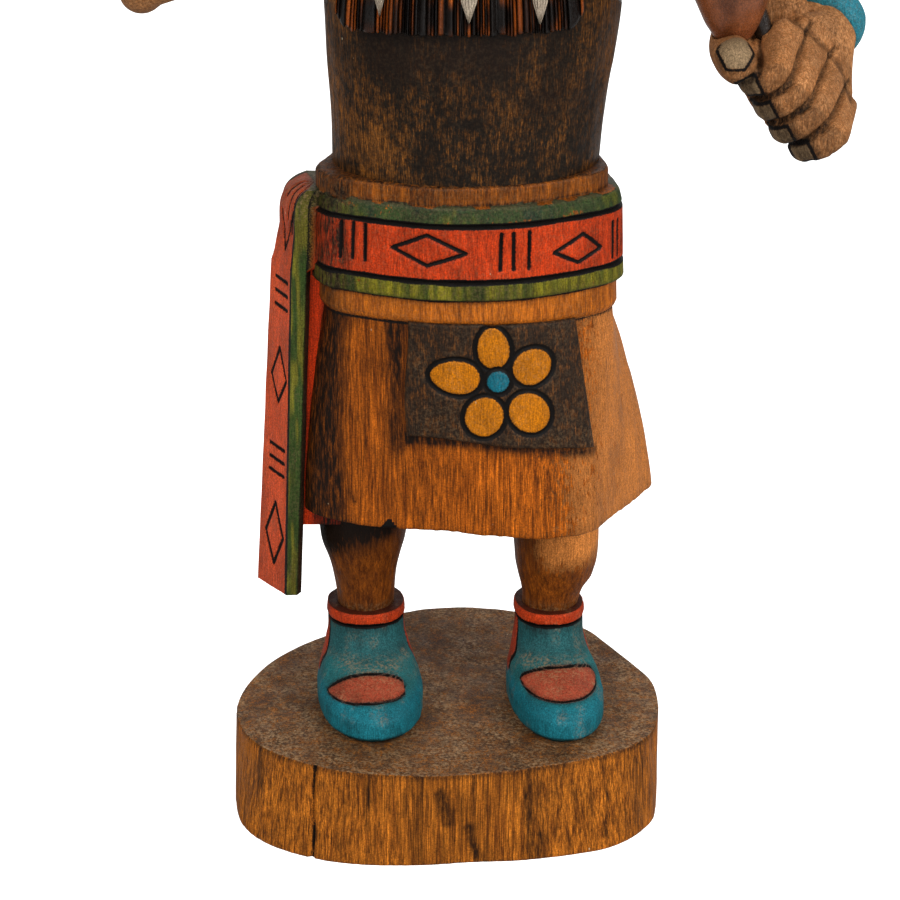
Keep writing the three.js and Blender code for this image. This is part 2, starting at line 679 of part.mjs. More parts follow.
function fist() {
  const z = vec(0, 0, 1);
  const sized = rows => rows.map(row => row.map(value => value * size));
  const finger = ([knuckleX, knuckleZ, bendX, bendZ, lastX, lastZ, tipX]) => limb(sized([
    [knuckleX, 1, knuckleZ, 3.6, 4], [mix(knuckleX, bendX, 0.4), -4.6, mix(knuckleZ, bendZ, 0.4), 3.7, 4],
    [bendX, -10.6, bendZ, 3.5, 3.8], [lastX, -9, lastZ, 3.2, 3.4], [tipX, -5.4, lastZ, 3, 3.2],
  ]), z, { sides: 6, softEnd: true });
  const palm = limb(sized([
    [13.4, 9.6, -10.4, 7, 5.6], [9.6, 4.6, -12.2, 11, 4.6], [4.6, 1, -14, 14.4, 7],
    [-1, -1, -15.4, 14.6, 7.6], [-4.6, -1, -16, 12.6, 5.2],
  ]), z, { sides: 10, softEnd: true });
  const thumb = limb(sized([
    [11, 9, -3, 5.4, 5.4], [2, 9.4, 0.6, 5.6, 5.2], [-6.6, 4.6, -0.4, 5.6, 5],
    [-8.5, -3.4, -1.4, 5.5, 4.7], [-8, -9.6, -1.5, 5.2, 4.3],
  ]), z, { sides: 8, softEnd: true });
  return join([palm, thumb, ...fingers.map(finger)]);
}

// Stick of the rattle, and the room it needs
function handleSolid(out) {
  const geometry = new THREE.CylinderGeometry(handleRadius + out, handleRadius + out, handleLength, 12);
  geometry.rotateX(Math.PI / 2);
  geometry.translate(0, 0, handleTop - handleLength / 2);
  return solidOfGeometry(geometry);
}

// Gourd: a pear with a small flat foot, clear of the thumb, as shares of its radius and length
const gourdProfile = [
  [0, 0], [0.27, 0], [0.42, 0.06], [0.6, 0.2], [0.8, 0.4], [0.96, 0.62], [1, 0.76], [0.84, 0.92],
  [0.48, 0.985], [0, 1],
];

function gourdSolid(out) {
  const profile = gourdProfile.map(([r, h]) => new THREE.Vector2(
    r === 0 ? 0 : r * gourdRadius + out, h * gourdLength + (h > 0.8 ? out : 0) - (h < 0.05 ? out : 0)));
  const geometry = new THREE.LatheGeometry(profile, 16);
  geometry.rotateX(Math.PI / 2);
  return solidOfGeometry(geometry);
}

// The left hand is turned about Y; its stick and gourd lean less, to the figure's middle
const turnedAbout = (degrees, at) => new THREE.Matrix4().makeRotationY(THREE.MathUtils.degToRad(degrees))
  .setPosition(at.multiplyScalar(size));
const leftHandTurn = turnedAbout(-28.7, vec(71.2, -24, 179.2));
const stickTurn = turnedAbout(-21.5, vec(71.6, -24, 179.2));
const gourdTurn = turnedAbout(-4, vec(64.8, -24.6, 177.4));
const placed = (solid, matrix) => solid.transform(matrix.elements);
const rattleSolid = out => placed(handleSolid(out), stickTurn).add(placed(gourdSolid(out), gourdTurn));

function makeLeftArm() {
  const sized = rows => rows.map(row => row.map(value => value * size));
  const x = leftSeatX / size;
  const z = shoulderHeight / size;
  const upper = limb(sized([
    [x, 0, z, 9, 9.4], [x + 5, 0.4, z + 0.4, 9.4, 9.8], [x + 16, 3, z - 1.4, 8.7, 8.9],
    [x + 34, 8, z - 5, 7.6, 7.8], [x + 50, 12, z - 8, 7, 7.2],
  ]), vec(0, 1, 0), { sides: 10, softEnd: true });
  const lower = limb(sized([
    [89.6, 12.4, 189.2, 7, 7.2], [89, 3, 185.4, 6.8, 6.8],
    [87.4, -7.4, 180, 6.4, 6], [84.8, -14, 176.4, 7.4, 6],
  ]), vec(0.6, 0, -0.8), { sides: 10, softStart: true });
  const bracelet = limb(sized([
    [89.9, -6.6, 180, 6.2, 5.8], [89.5, -7.4, 179.6, 8.7, 8.2], [88.3, -9.6, 178.4, 9.3, 8.7],
    [87.1, -11.8, 177.2, 8.9, 8.2], [86.7, -12.6, 176.8, 6.2, 5.8],
  ]), vec(0.52, 0, -0.86), { sides: 12 });
  const hand = placed(fist(), leftHandTurn);
  const arm = join([upper, lower, bracelet, hand]);
  const inner = block(
    vec(leftSeatX - figureHeight, -figureHeight, 0), vec(leftSeatX, figureHeight, figureHeight));
  return arm.subtract(rattleSolid(holeGap)).subtract(inner);
}

// The right fist is the mirror of the left one, raised with its palm to the front
const rightHandAt = vec(-66.4, -9.6, 227.8).multiplyScalar(size);
const rightHandTurn = new THREE.Matrix4().makeBasis(vec(0, 0.6, -0.8), vec(0, -0.8, -0.6), vec(1, 0, 0))
  .setPosition(rightHandAt);

function makeRightArm() {
  const sized = rows => rows.map(row => row.map(value => value * size));
  const x = rightSeatX / size;
  const z = shoulderHeight / size;
  const upper = limb(sized([
    [x, 0, z, 9, 9.4], [x - 5, 0, z, 9.4, 9.8], [x - 16, 0, z - 2.8, 8.7, 8.9],
    [x - 32, 0, z - 7.4, 7.6, 7.6], [x - 42.6, 0, z - 12.2, 6.4, 6],
  ]), vec(0, 1, 0), { sides: 10, softEnd: true });
  const lower = limb(sized([
    [-73, 0.6, 183.4, 5.6, 5.8], [-74.6, -3, 193, 6.8, 6.6],
    [-77.4, -6.6, 204, 6.4, 5.8], [-78.4, -8, 209, 7, 5.8],
  ]), vec(1, 0, 0), { sides: 10, softStart: true });
  const arm = join([upper, lower, placed(fist(), rightHandTurn)]);
  const inner = block(
    vec(rightSeatX, -figureHeight, 0), vec(rightSeatX + figureHeight, figureHeight, figureHeight));
  return arm.subtract(inner);
}

function makeRattle() {
  return rattleSolid(0);
}

// A solid's faces as a named mesh
function piece(name, solid, material) {
  const { vertProperties, triVerts } = solid.getMesh();
  const geometry = new THREE.BufferGeometry();
  geometry.setAttribute('position', new THREE.BufferAttribute(new Float32Array(vertProperties), 3));
  geometry.setIndex(new THREE.BufferAttribute(new Uint32Array(triVerts), 1));
  geometry.computeVertexNormals();
  const mesh = new THREE.Mesh(geometry, material);
  mesh.name = name;
  return mesh;
}

const doll = new THREE.Group();
doll.add(piece('base', makeBase(), baseWood));

const carving = new THREE.Group();
carving.position.z = baseThickness;
carving.add(piece('figure', makeFigure(), figureWood));
carving.add(piece('left_arm', makeLeftArm(), armWood));
carving.add(piece('right_arm', makeRightArm(), armWood));
carving.add(piece('rattle', makeRattle(), gourdPaint));
doll.add(carving);

export default doll;
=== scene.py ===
# Kachina doll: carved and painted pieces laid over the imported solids.
# Tables are in millimetres; heights on the figure start on top of the base.

import math

import bpy
import numpy as np
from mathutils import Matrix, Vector
from mathutils.kdtree import KDTree


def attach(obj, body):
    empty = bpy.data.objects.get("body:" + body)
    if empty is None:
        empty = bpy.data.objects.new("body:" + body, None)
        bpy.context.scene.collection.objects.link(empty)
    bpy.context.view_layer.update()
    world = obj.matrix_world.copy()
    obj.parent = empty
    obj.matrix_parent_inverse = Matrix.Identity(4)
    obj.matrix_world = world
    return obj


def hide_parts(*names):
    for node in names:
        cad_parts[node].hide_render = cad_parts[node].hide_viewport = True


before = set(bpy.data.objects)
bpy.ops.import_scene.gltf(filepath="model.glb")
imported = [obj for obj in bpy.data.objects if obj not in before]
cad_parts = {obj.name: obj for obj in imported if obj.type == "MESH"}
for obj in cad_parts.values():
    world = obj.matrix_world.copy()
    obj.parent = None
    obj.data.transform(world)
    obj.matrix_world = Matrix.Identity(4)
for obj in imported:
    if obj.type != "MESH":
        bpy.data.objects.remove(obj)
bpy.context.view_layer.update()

MM = 0.001
BASE_TOP = 25.4
TAU = 2 * math.pi

# Paint colours
RED = "#DC4812"
GREEN = "#4C581C"
DEEP_GREEN = "#385028"
LIME = "#90881E"
TURQUOISE = "#256668"
OCHRE = "#AE6A04"
BLUE = "#126878"
BLACK = "#0E0A08"
# Tones of the patina; the stain tone also paints shade
STAIN_AND_SHADE = "#1A0D05"
DUST = "#A0825F"
FLECK = "#B8A88C"
# Distance in mm that stands for nowhere near
FAR = 9.0
# What each point of a surface carries
PAINTED = ("paint", "ink", "stain_and_shade", "dust")


def rgb(code):
    """Linear colour of a six-digit code."""
    value = np.array([int(code[i:i + 2], 16) / 255 for i in (1, 3, 5)])
    return np.where(value <= 0.04045, value / 12.92, ((value + 0.055) / 1.055) ** 2.4)


def step(low, high, value):
    """Soft step from 0 at low to 1 at high."""
    t = np.clip((value - low) / (high - low), 0, 1)
    return t * t * (3 - 2 * t)


def bell(value, middle, width):
    """1 at the middle, falling away on both sides over the width."""
    return np.exp(-((value - middle) / width) ** 2)


def hashed(whole, seed=0):
    """Steady random numbers from 0 to 1 for whole numbers."""
    h = (np.asarray(whole).astype(np.int64) * 73856093 + seed * 19349663) & 0x7FFFFFFF
    h = ((h ^ (h >> 13)) * 1274126177) & 0x7FFFFFFF
    return ((h ^ (h >> 16)) % 10007) / 10006


def lumps(points, size, seed=0):
    """Smooth noise from -1 to 1 at points; size is a lump's width, one number or three."""
    spots = np.asarray(points) / np.asarray(size, float) + seed * 17.31
    cell = np.floor(spots).astype(np.int64)
    part = spots - cell
    part = part * part * (3 - 2 * part)
    total = np.zeros(len(spots))
    for corner in range(8):
        offset = np.array([corner & 1, corner >> 1 & 1, corner >> 2 & 1])
        c = cell + offset
        weight = np.prod(np.where(offset, part, 1 - part), axis=1)
        total += weight * hashed(c[:, 0] * 73856093 ^ c[:, 1] * 19349663 ^ c[:, 2] * 83492791, seed)
    return total * 2 - 1


def smooth_rows(table, at):
    """Rows of a table at given values of its first column, along smooth curves without overshoot."""
    table = np.asarray(table, float)
    x, y = table[:, 0], table[:, 1:]
    gap = np.diff(x)[:, None]
    slope = np.diff(y, axis=0) / gap
    tangent = np.zeros_like(y)
    product = slope[1:] * slope[:-1]
    total = slope[1:] + slope[:-1]
    tangent[1:-1] = np.where(product > 0, 2 * product / np.where(product > 0, total, 1), 0)
    tangent[0], tangent[-1] = slope[0], slope[-1]
    i = np.clip(np.searchsorted(x, at, side="right") - 1, 0, len(x) - 2)
    h = gap[i]
    t = (np.asarray(at, float)[:, None] - x[i][:, None]) / h
    return (y[i] * (1 + 2 * t) * (1 - t) ** 2 + h * tangent[i] * t * (1 - t) ** 2
            + y[i + 1] * t * t * (3 - 2 * t) + h * tangent[i + 1] * t * t * (t - 1))


def oval(x, y, a, b, angle, turn=0.0, power=2.0, out=0.0):
    """Points of an oval that may be turned, squarer than an ellipse, and set out from its size."""
    c, s = np.cos(angle - turn), np.sin(angle - turn)
    u = (a + out) * np.sign(c) * np.abs(c) ** (2 / power)
    v = (b + out) * np.sign(s) * np.abs(s) ** (2 / power)
    return x + u * math.cos(turn) - v * math.sin(turn), y + u * math.sin(turn) + v * math.cos(turn)


class Surface:
    """Points in mm, faces, and what is painted on each point."""

    def __init__(self, points, faces):
        self.points = np.asarray(points, float)
        self.faces = faces
        count = len(self.points)
        self.paint = np.zeros((count, 4))
        self.ink = np.full(count, FAR)
        self.stain_and_shade = np.zeros(count)
        self.dust = np.zeros(count)

    def coat(self, where, colour, cover=1.0):
        mask = np.clip(np.asarray(where, float), 0, 1)[:, None]
        self.paint[:, :3] = self.paint[:, :3] * (1 - mask) + rgb(colour) * mask
        self.paint[:, 3:] = self.paint[:, 3:] * (1 - mask) + cover * mask

    def coat_all(self, colour, cover=1.0):
        self.coat(np.ones(len(self.points)), colour, cover)

    def normals(self):
        total = np.zeros_like(self.points)
        for corners in (3, 4):
            faces = np.array([f for f in self.faces if len(f) == corners])
            if len(faces):
                p = self.points[faces]
                if corners == 4:
                    normal = np.cross(p[:, 2] - p[:, 0], p[:, 3] - p[:, 1])
                else:
                    normal = np.cross(p[:, 1] - p[:, 0], p[:, 2] - p[:, 0])
                for k in range(corners):
                    np.add.at(total, faces[:, k], normal)
        return total / np.maximum(np.linalg.norm(total, axis=1), 1e-9)[:, None]

    def sink(self, depth):
        self.points = self.points - self.normals() * np.asarray(depth)[:, None]

    def knife(self, distance, width=1.1, depth=0.7, black=0.5):
        """Cuts a groove along a line and paints it black, given each point's distance from the line."""
        self.sink(depth * np.clip(1 - distance / (width * 0.75), 0, 1))
        self.ink = np.minimum(self.ink, distance - black)


def join(*surfaces):
    whole = Surface(np.concatenate([s.points for s in surfaces]), [])
    start = 0
    for s in surfaces:
        whole.faces += [tuple(k + start for k in f) for f in s.faces]
        start += len(s.points)
    for name in PAINTED:
        setattr(whole, name, np.concatenate([getattr(s, name) for s in surfaces]))
    return whole


def ring_at(height, x, y):
    """Points x, y at one height."""
    return np.column_stack([x, y, np.full(len(x), height)])


def quads(*corners):
    """Four-cornered faces from arrays of point numbers."""
    return np.stack(corners, axis=-1).reshape(-1, 4).tolist()


def tube(rings):
    """Closed skin through rings that go up and turn anticlockwise from above, with a fan at each end."""
    rows, columns = rings.shape[:2]
    number = np.arange(rows * columns).reshape(rows, columns)
    right = np.roll(number, -1, axis=1)
    faces = quads(number[:-1], right[:-1], right[1:], number[1:])
    low, high = rows * columns, rows * columns + 1
    faces += [(low, int(b), int(a)) for a, b in zip(number[0], right[0])]
    faces += [(high, int(a), int(b)) for a, b in zip(number[-1], right[-1])]
    points = np.vstack([rings.reshape(-1, 3), rings[0].mean(axis=0), rings[-1].mean(axis=0)])
    return Surface(points, faces)


def slab(outer, inner):
    """Closed slab between two grids of points, whose rows go up and columns to +X."""
    rows, columns = outer.shape[:2]
    front = np.arange(rows * columns).reshape(rows, columns)
    back = front + rows * columns
    faces = quads(front[:-1, :-1], front[:-1, 1:], front[1:, 1:], front[1:, :-1])
    faces += quads(back[1:, :-1], back[1:, 1:], back[:-1, 1:], back[:-1, :-1])
    for f, b, flip in ((front[0], back[0], True), (front[-1], back[-1], False),
                       (front[:, 0], back[:, 0], False), (front[:, -1], back[:, -1], True)):
        side = quads(f[:-1], f[1:], b[1:], b[:-1])
        faces += [face[::-1] for face in side] if flip else side
    return Surface(np.vstack([outer.reshape(-1, 3), inner.reshape(-1, 3)]), faces)


def path_near(path, spots):
    """Distance from each spot to a path, and how many corners along the path its nearest point lies."""
    path = np.asarray(path, float)
    best, where = np.full(len(spots), 99.0), np.zeros(len(spots))
    for k, (a, b) in enumerate(zip(path[:-1], path[1:])):
        along = b - a
        share = np.clip((spots - a) @ along / (along @ along), 0, 1)
        far = np.linalg.norm(spots - a - share[:, None] * along, axis=1)
        where = np.where(far < best, k + share, where)
        best = np.minimum(best, far)
    return best, where


def line_distance(lines, spots):
    """Distance from each spot to the nearest of some lines, each a list of corners."""
    return np.min([path_near(line, spots)[0] for line in lines], axis=0)


def angles(fine_from, fine_to, fine, coarse):
    """Angles round a ring, closer together between two angles than over the rest."""
    return np.concatenate([np.linspace(fine_from, fine_to, fine, endpoint=False),
                           np.linspace(fine_to, fine_from + TAU, coarse, endpoint=False)])


# Materials
class Shader:
    """Builds one material from nodes; coordinates are in mm."""

    def __init__(self, name):
        self.material = bpy.data.materials.new(name)
        self.material.use_nodes = True
        self.tree = self.material.node_tree
        self.surface = self.tree.nodes["Principled BSDF"]
        spot = self.add("TexCoord").outputs["Object"]
        self.mm = self.add("VectorMath", {0: spot, 3: 1 / MM}, operation="SCALE").outputs[0]

    def add(self, kind, inputs=None, **settings):
        node = self.tree.nodes.new("ShaderNode" + kind)
        for name, value in settings.items():
            setattr(node, name, value)
        for key, value in (inputs or {}).items():
            if isinstance(value, bpy.types.NodeSocket):
                self.tree.links.new(value, node.inputs[key])
            else:
                node.inputs[key].default_value = value
        return node

    def math(self, operation, a, b=0.0, clamp=False):
        return self.add("Math", {0: a, 1: b}, operation=operation, use_clamp=clamp).outputs[0]

    def noise(self, size, detail=3.0, rough=0.55, seed=0):
        size = size if isinstance(size, tuple) else (size, size, size)
        place = self.add("Mapping", {0: self.mm, 1: (seed * 7.3,) * 3, 3: tuple(1 / s for s in size)})
        return self.add("TexNoise", {"Vector": place.outputs[0], "Scale": 1.0, "Detail": detail,
                                     "Roughness": rough}).outputs[0]

    def band(self, value, low, high, low_to=0.0, high_to=1.0):
        return self.add("MapRange", {0: value, 1: low, 2: high, 3: low_to, 4: high_to},
                        interpolation_type="SMOOTHSTEP").outputs[0]

    def spread(self, noise, low_to=0.0, high_to=1.0):
        """The bulk of a noise's values, spread between two numbers."""
        return self.band(noise, 0.3, 0.7, low_to, high_to)

    def mix(self, share, a, b, blend="MIX"):
        return self.add("Mix", {0: share, 6: a, 7: b}, data_type="RGBA", blend_type=blend).outputs[2]

    def shade(self, colour, share):
        return self.mix(1.0, colour, share, "MULTIPLY")

    def attribute(self, name):
        return self.add("Attribute", attribute_name=name).outputs["Fac"]

    def finish(self, colour, roughness, height, bump, reach):
        normal = self.add("Bump", {"Height": height, "Strength": bump, "Distance": reach * MM}).outputs[0]
        for name, value in (("Base Color", colour), ("Roughness", roughness), ("Normal", normal)):
            self.tree.links.new(value, self.surface.inputs[name])
        return self.material


def tone(code):
    return (*rgb(code), 1.0)


def carved_wood(name, light, dark, along=14.0, across=0.9, contrast=1.0, rough=0.5, bump=0.35, gloss=0.15,
                soft=0.12):
    """Wood with its grain upwards, under worn paint, stains and painted shade, dust and black lines.

    The grain's length and width are in mm; soft says how gently paint and bare wood meet.
    """
    s = Shader(name)
    broad = s.noise((across, across, along), 5, 0.65)
    fine = s.noise((0.2, 0.2, max(3.4, along * 0.4)), 3, 0.65, 2)
    pore = s.noise((0.17, 0.17, 1.1), 2, 0.5, 5)
    patch = s.noise((6.0, 6.0, 13.0), 4, 0.6, 3)
    grit = s.noise(0.4, 3, 0.7, 4)

    wood = s.mix(s.spread(broad), tone(dark), tone(light))
    wood = s.shade(wood, s.spread(fine, 1 - 0.34 * contrast, 1 + 0.34 * contrast))
    wood = s.shade(wood, s.spread(grit, 1 - 0.2 * contrast, 1 + 0.18 * contrast))
    wood = s.shade(wood, s.spread(patch, 0.8, 1.15))

    paint = s.add("Attribute", attribute_name="paint")
    fleck_shade = s.math("MULTIPLY", s.spread(fine, 0.68, 1.28), s.spread(grit, 0.62, 1.32))
    painted = s.shade(paint.outputs["Color"], fleck_shade)
    painted = s.shade(painted, s.spread(patch, 0.84, 1.12))
    wear = s.math("ADD", s.math("MULTIPLY", s.noise((0.45, 0.45, 2.6), 4, 0.7, 6), 0.6),
                  s.math("MULTIPLY", s.noise(2.0, 3, 0.6, 7), 0.4))
    kept = s.math("SUBTRACT", s.math("MULTIPLY", paint.outputs["Alpha"], 1.15), s.spread(wear))
    colour = s.mix(s.band(kept, -soft, soft), wood, painted)

    # Darkens towards the stain tone by the stain attribute, which holds real stains and painted shade
    stain_and_shade = s.band(s.noise((0.7, 0.7, 4.0), 4, 0.7, 8), 0.3, 0.65, 0.55, 1.12)
    colour = s.mix(s.math("MULTIPLY", s.attribute("stain_and_shade"), stain_and_shade, True), colour, tone(STAIN_AND_SHADE))
    dust = s.band(s.noise(0.8, 5, 0.75, 9), 0.42, 0.68)
    colour = s.mix(s.math("MULTIPLY", s.attribute("dust"), dust, True), colour, tone(DUST))
    spots = s.add("Mapping", {0: s.mm, 3: (0.21, 0.21, 0.12)}).outputs[0]
    cell = s.add("TexVoronoi", {"Vector": spots, "Scale": 1.0})
    fleck = s.math("MULTIPLY", s.band(cell.outputs["Distance"], 0.05, 0.03),
                   s.band(s.noise(9.0, 2, 0.5, 11), 0.52, 0.62))
    colour = s.mix(fleck, colour, tone(FLECK))
    ragged = s.math("MULTIPLY", s.math("SUBTRACT", grit, 0.5), 0.6)
    ink = s.band(s.math("ADD", s.attribute("ink"), ragged), 0.16, -0.12)
    colour = s.mix(ink, colour, tone(BLACK))

    height = s.math("ADD", s.math("MULTIPLY", fine, 0.6), s.math("MULTIPLY", pore, 0.5))
    height = s.math("ADD", height, s.math("MULTIPLY", grit, 0.35))
    uneven = s.math("ADD", pore, s.math("SUBTRACT", patch, 0.5))
    roughness = s.spread(uneven, rough - 0.14, rough + 0.14)
    s.surface.inputs["Specular IOR Level"].default_value = gloss
    return s.finish(colour, roughness, height, bump, 0.5)


def put_in_scene(name, data):
    made = bpy.data.objects.new(name, data)
    bpy.context.scene.collection.objects.link(made)
    return made


def build(name, surface, material, node="figure", lift=BASE_TOP, sharp=50):
    """Makes a piece of the scene, in metres, that stands in for a node of the solids."""
    mesh = bpy.data.meshes.new(name)
    mesh.from_pydata(((surface.points + (0, 0, lift)) * MM).tolist(), [], surface.faces)
    mesh.attributes.new("paint", "FLOAT_COLOR", "POINT").data.foreach_set("color", surface.paint.ravel())
    for key in ("ink", "stain_and_shade", "dust"):
        mesh.attributes.new(key, "FLOAT", "POINT").data.foreach_set("value", getattr(surface, key))
    mesh.polygons.foreach_set("use_smooth", [True] * len(mesh.polygons))
    mesh.set_sharp_from_angle(angle=math.radians(sharp))
    mesh.update()
    mesh.materials.append(material)
    piece = put_in_scene(name, mesh)
    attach(piece, "root")
    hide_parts(node)


# Base
BASE_SIZE = (109.6, 98.0, 25.4)
# Shares of half the width and half the depth, and how far the bark side stands out at the bottom
BASE_OUTLINE = [
    [0.98, 0.02, 0], [0.9, 0.25, 0], [0.78, 0.52, 0], [0.66, 0.73, 0], [0.39, 0.91, 0], [0.08, 0.99, 0],
    [-0.24, 0.92, 0], [-0.61, 0.63, 0], [-0.83, 0.37, 0], [-0.95, 0.1, 0.4], [-1.005, -0.15, 0.8],
    [-1.0, -0.36, 1.1], [-0.93, -0.59, 2.3], [-0.77, -0.79, 2.8], [-0.49, -0.95, 1.8], [-0.16, -1.005, 0.3],
    [0.08, -0.99, -0.6], [0.35, -0.925, 1.4], [0.69, -0.79, 3], [0.91, -0.59, 1.4], [0.985, -0.3, 0],
]
# Crack on the bark side: its x half way up, and how it leans
CRACK = dict(x=-34.3, middle=12, lean=0.07, half=0.42)
# Dark streaks on the bark side: upper x and height, lower x and height, half width, strength
DARK_STREAKS = [
    [-47.6, 24, -47.8, 15, 1.6, 0.6], [-2.2, 20, -0.8, 12, 2.2, 0.75], [4.6, 10, 7, 2, 2.2, 0.75],
    [19.2, 25, 19.4, 3, 1.3, 0.5], [28, 25, 27, 8, 0.8, 0.4], [-20, 25, -21, 10, 0.7, 0.45],
    [-10, 25, -11.5, 14, 0.9, 0.4], [40, 22, 39, 4, 1.1, 0.35],
]


def closed_curve(corners, count):
    """Smooth closed curve through corners, as count points."""
    p = np.asarray(corners, float)
    t = np.linspace(0, len(p), count, endpoint=False)
    i = t.astype(int)
    f = (t - i)[:, None]
    p0, p1, p2, p3 = (p[(i + k) % len(p)] for k in (-1, 0, 1, 2))
    return 0.5 * (2 * p1 + (p2 - p0) * f + (2 * p0 - 5 * p1 + 4 * p2 - p3) * f ** 2
                  + (3 * p1 - p0 - 3 * p2 + p3) * f ** 3)


def make_base():
    width, depth, high = BASE_SIZE
    curve = closed_curve(np.array(BASE_OUTLINE) * (width / 2, depth / 2, 1), 520)
    outline, flare = curve[:, :2], curve[:, 2:]
    reach = np.linalg.norm(outline, axis=1)[:, None]
    z = np.concatenate([[0, 0.35, 0.8], np.linspace(1.4, high - 1.4, 50), [high - 0.8, high - 0.35, high]])
    edge = np.interp(z, [0, 0.35, 0.8, high - 0.8, high - 0.35, high], [0.4, 0.1, 0, 0, 0.12, 0.5])
    side = [ring_at(h, *(outline * (1 + (flare * (1 - h / high) - e) / reach)).T) for h, e in zip(z, edge)]
    top = [ring_at(high, *(outline * (share - 0.5 / reach)).T) for share in np.linspace(0.985, 0.02, 46)]
    base = tube(np.array(side + top))
    p = base.points
    x, y, z = p.T
    bark_front = y < 0
    on_top = step(high - 0.1, high, z)
    on_side = 1 - on_top
    # Saw marks, fibres and a crack on the side, small dents on top, flat under the feet
    crack = x - CRACK["x"] - CRACK["lean"] * (z - CRACK["middle"]) + 0.5 * lumps(p * (0, 0, 1), 6, 3)
    crack = np.abs(crack) + 40 * (y > 0)
    rough = 0.11 * (1 + lumps(p, (1.2, 1.2, 9), 1)) + 0.175 * (1 + lumps(p, (9, 9, 14), 2))
    rough += 0.9 * step(0.9, 0.2, crack)
    dents = 0.11 * (1 + lumps(p, 3.5, 4)) * step(12, 15, np.abs(y))
    inward = p[:, :2] / np.maximum(np.linalg.norm(p[:, :2], axis=1), 1)[:, None]
    p[:, :2] -= inward * (rough * on_side)[:, None]
    p[:, 2] -= on_top * dents
    base.ink = np.minimum(base.ink, crack - CRACK["half"] - 0.25 * lumps(p, (9, 9, 5), 15) + FAR * on_top)
    base.coat(on_top, "#543C2A", 0.6)
    grime = 0.5 * lumps(p, 13, 5) + 0.6 * lumps(p, 3.2, 16)
    base.dust = on_top * (0.75 + grime + 0.25 * step(40, 50, np.hypot(x * 0.9, y)))
    rim = step(2.2, 0.2, high - z)
    streaks = step(0.25, 0.75, lumps(p * (1, 1, 0.05), 4.2, 6))
    thin = step(0.45, 0.85, lumps(p, (0.7, 0.7, 12), 18))
    # Painted shade darkens the middle of the bark side's front; the thin lines, top edge and streaks darken
    # it too
    dark_side = 0.12 * bell(x, 3, 14) * bark_front + 0.55 * thin + 0.55 * rim + 0.4 * streaks
    dark_top = 0.25 * step(0, 0.6, lumps(p, 9, 7)) + 0.45 * step(0.2, 0.75, lumps(p, 2.4, 19))
    base.stain_and_shade = np.clip(dark_side * on_side + dark_top * on_top, 0, 1)
    for x_high, z_high, x_low, z_low, wide, deep in DARK_STREAKS:
        gap = line_distance([[(x_high, z_high), (x_low, z_low)]], p[:, [0, 2]])
        gap += 0.8 * lumps(p, (2, 2, 7), 17)
        base.stain_and_shade += deep * on_side * step(wide, 0.2 * wide, gap) * bark_front
    base.stain_and_shade = np.clip(base.stain_and_shade, 0, 0.9)
    material = carved_wood("base_wood", "#BE7422", "#62340C", along=22, across=0.55, contrast=1.7, rough=0.6,
                           soft=0.4)
    build("base_slice", base, material, "base", lift=0)


# Moccasins and legs

# Bottom, top, and how far it stands out
CUFF = (21.7, 25.1, 0.2)
FEET = {
    "left": dict(ankle=-21.8, half=13.5, turn=0.11,
                 patch=dict(middle=11.2, half=1.7, rise=0.8, droop=1.4, aside=-0.22, reach=0.9)),
    "right": dict(ankle=25.6, half=12.0, turn=0.13,
                  patch=dict(middle=11.8, half=2.0, rise=0.2, droop=1.0, aside=-0.05, reach=1.1)),
}
# Height, reach of toe and heel from the ankle, share of the half width
MOCCASIN = [
    [0, 31.8, 12.6, 0.9], [2, 34, 13.6, 1], [5.5, 33.8, 13.6, 1.005], [8.4, 31.2, 13.2, 0.965],
    [9.7, 28.8, 13, 0.93], [11.4, 24, 12.7, 0.88], [13, 19.2, 12.2, 0.83], [15, 13.6, 11.6, 0.78],
    [17.5, 11, 11, 0.745], [21.7, 10, 10.3, 0.73],
]
# Height, x from the ankle, half width, half depth
LEGS = {
    "left": [[24, 0, 7.6, 7.8], [28, 0, 7.9, 8.2], [36, -0.3, 9.1, 9.8], [45, -0.5, 11.4, 11.6],
             [60, -0.4, 12.8, 12.4]],
    "right": [[24, 0.2, 7.4, 7.8], [28, 0.6, 8, 8.4], [33, 1.5, 10, 9.8], [38, 1.7, 11, 11.2],
              [60, 0.7, 11.8, 12.4]],
}
LEG_SEEDS = {"left": 24, "right": 25}


def moccasin_ring(foot, height, angle, out=0.0):
    toe, heel, width = smooth_rows(MOCCASIN, np.array([height]))[0]
    middle = (toe - heel) / 2
    x, y = oval(foot["ankle"] + middle * math.sin(foot["turn"]), -middle * math.cos(foot["turn"]),
                width * foot["half"], (toe + heel) / 2, angle, foot["turn"], 2.2, out)
    return ring_at(height, x, y)


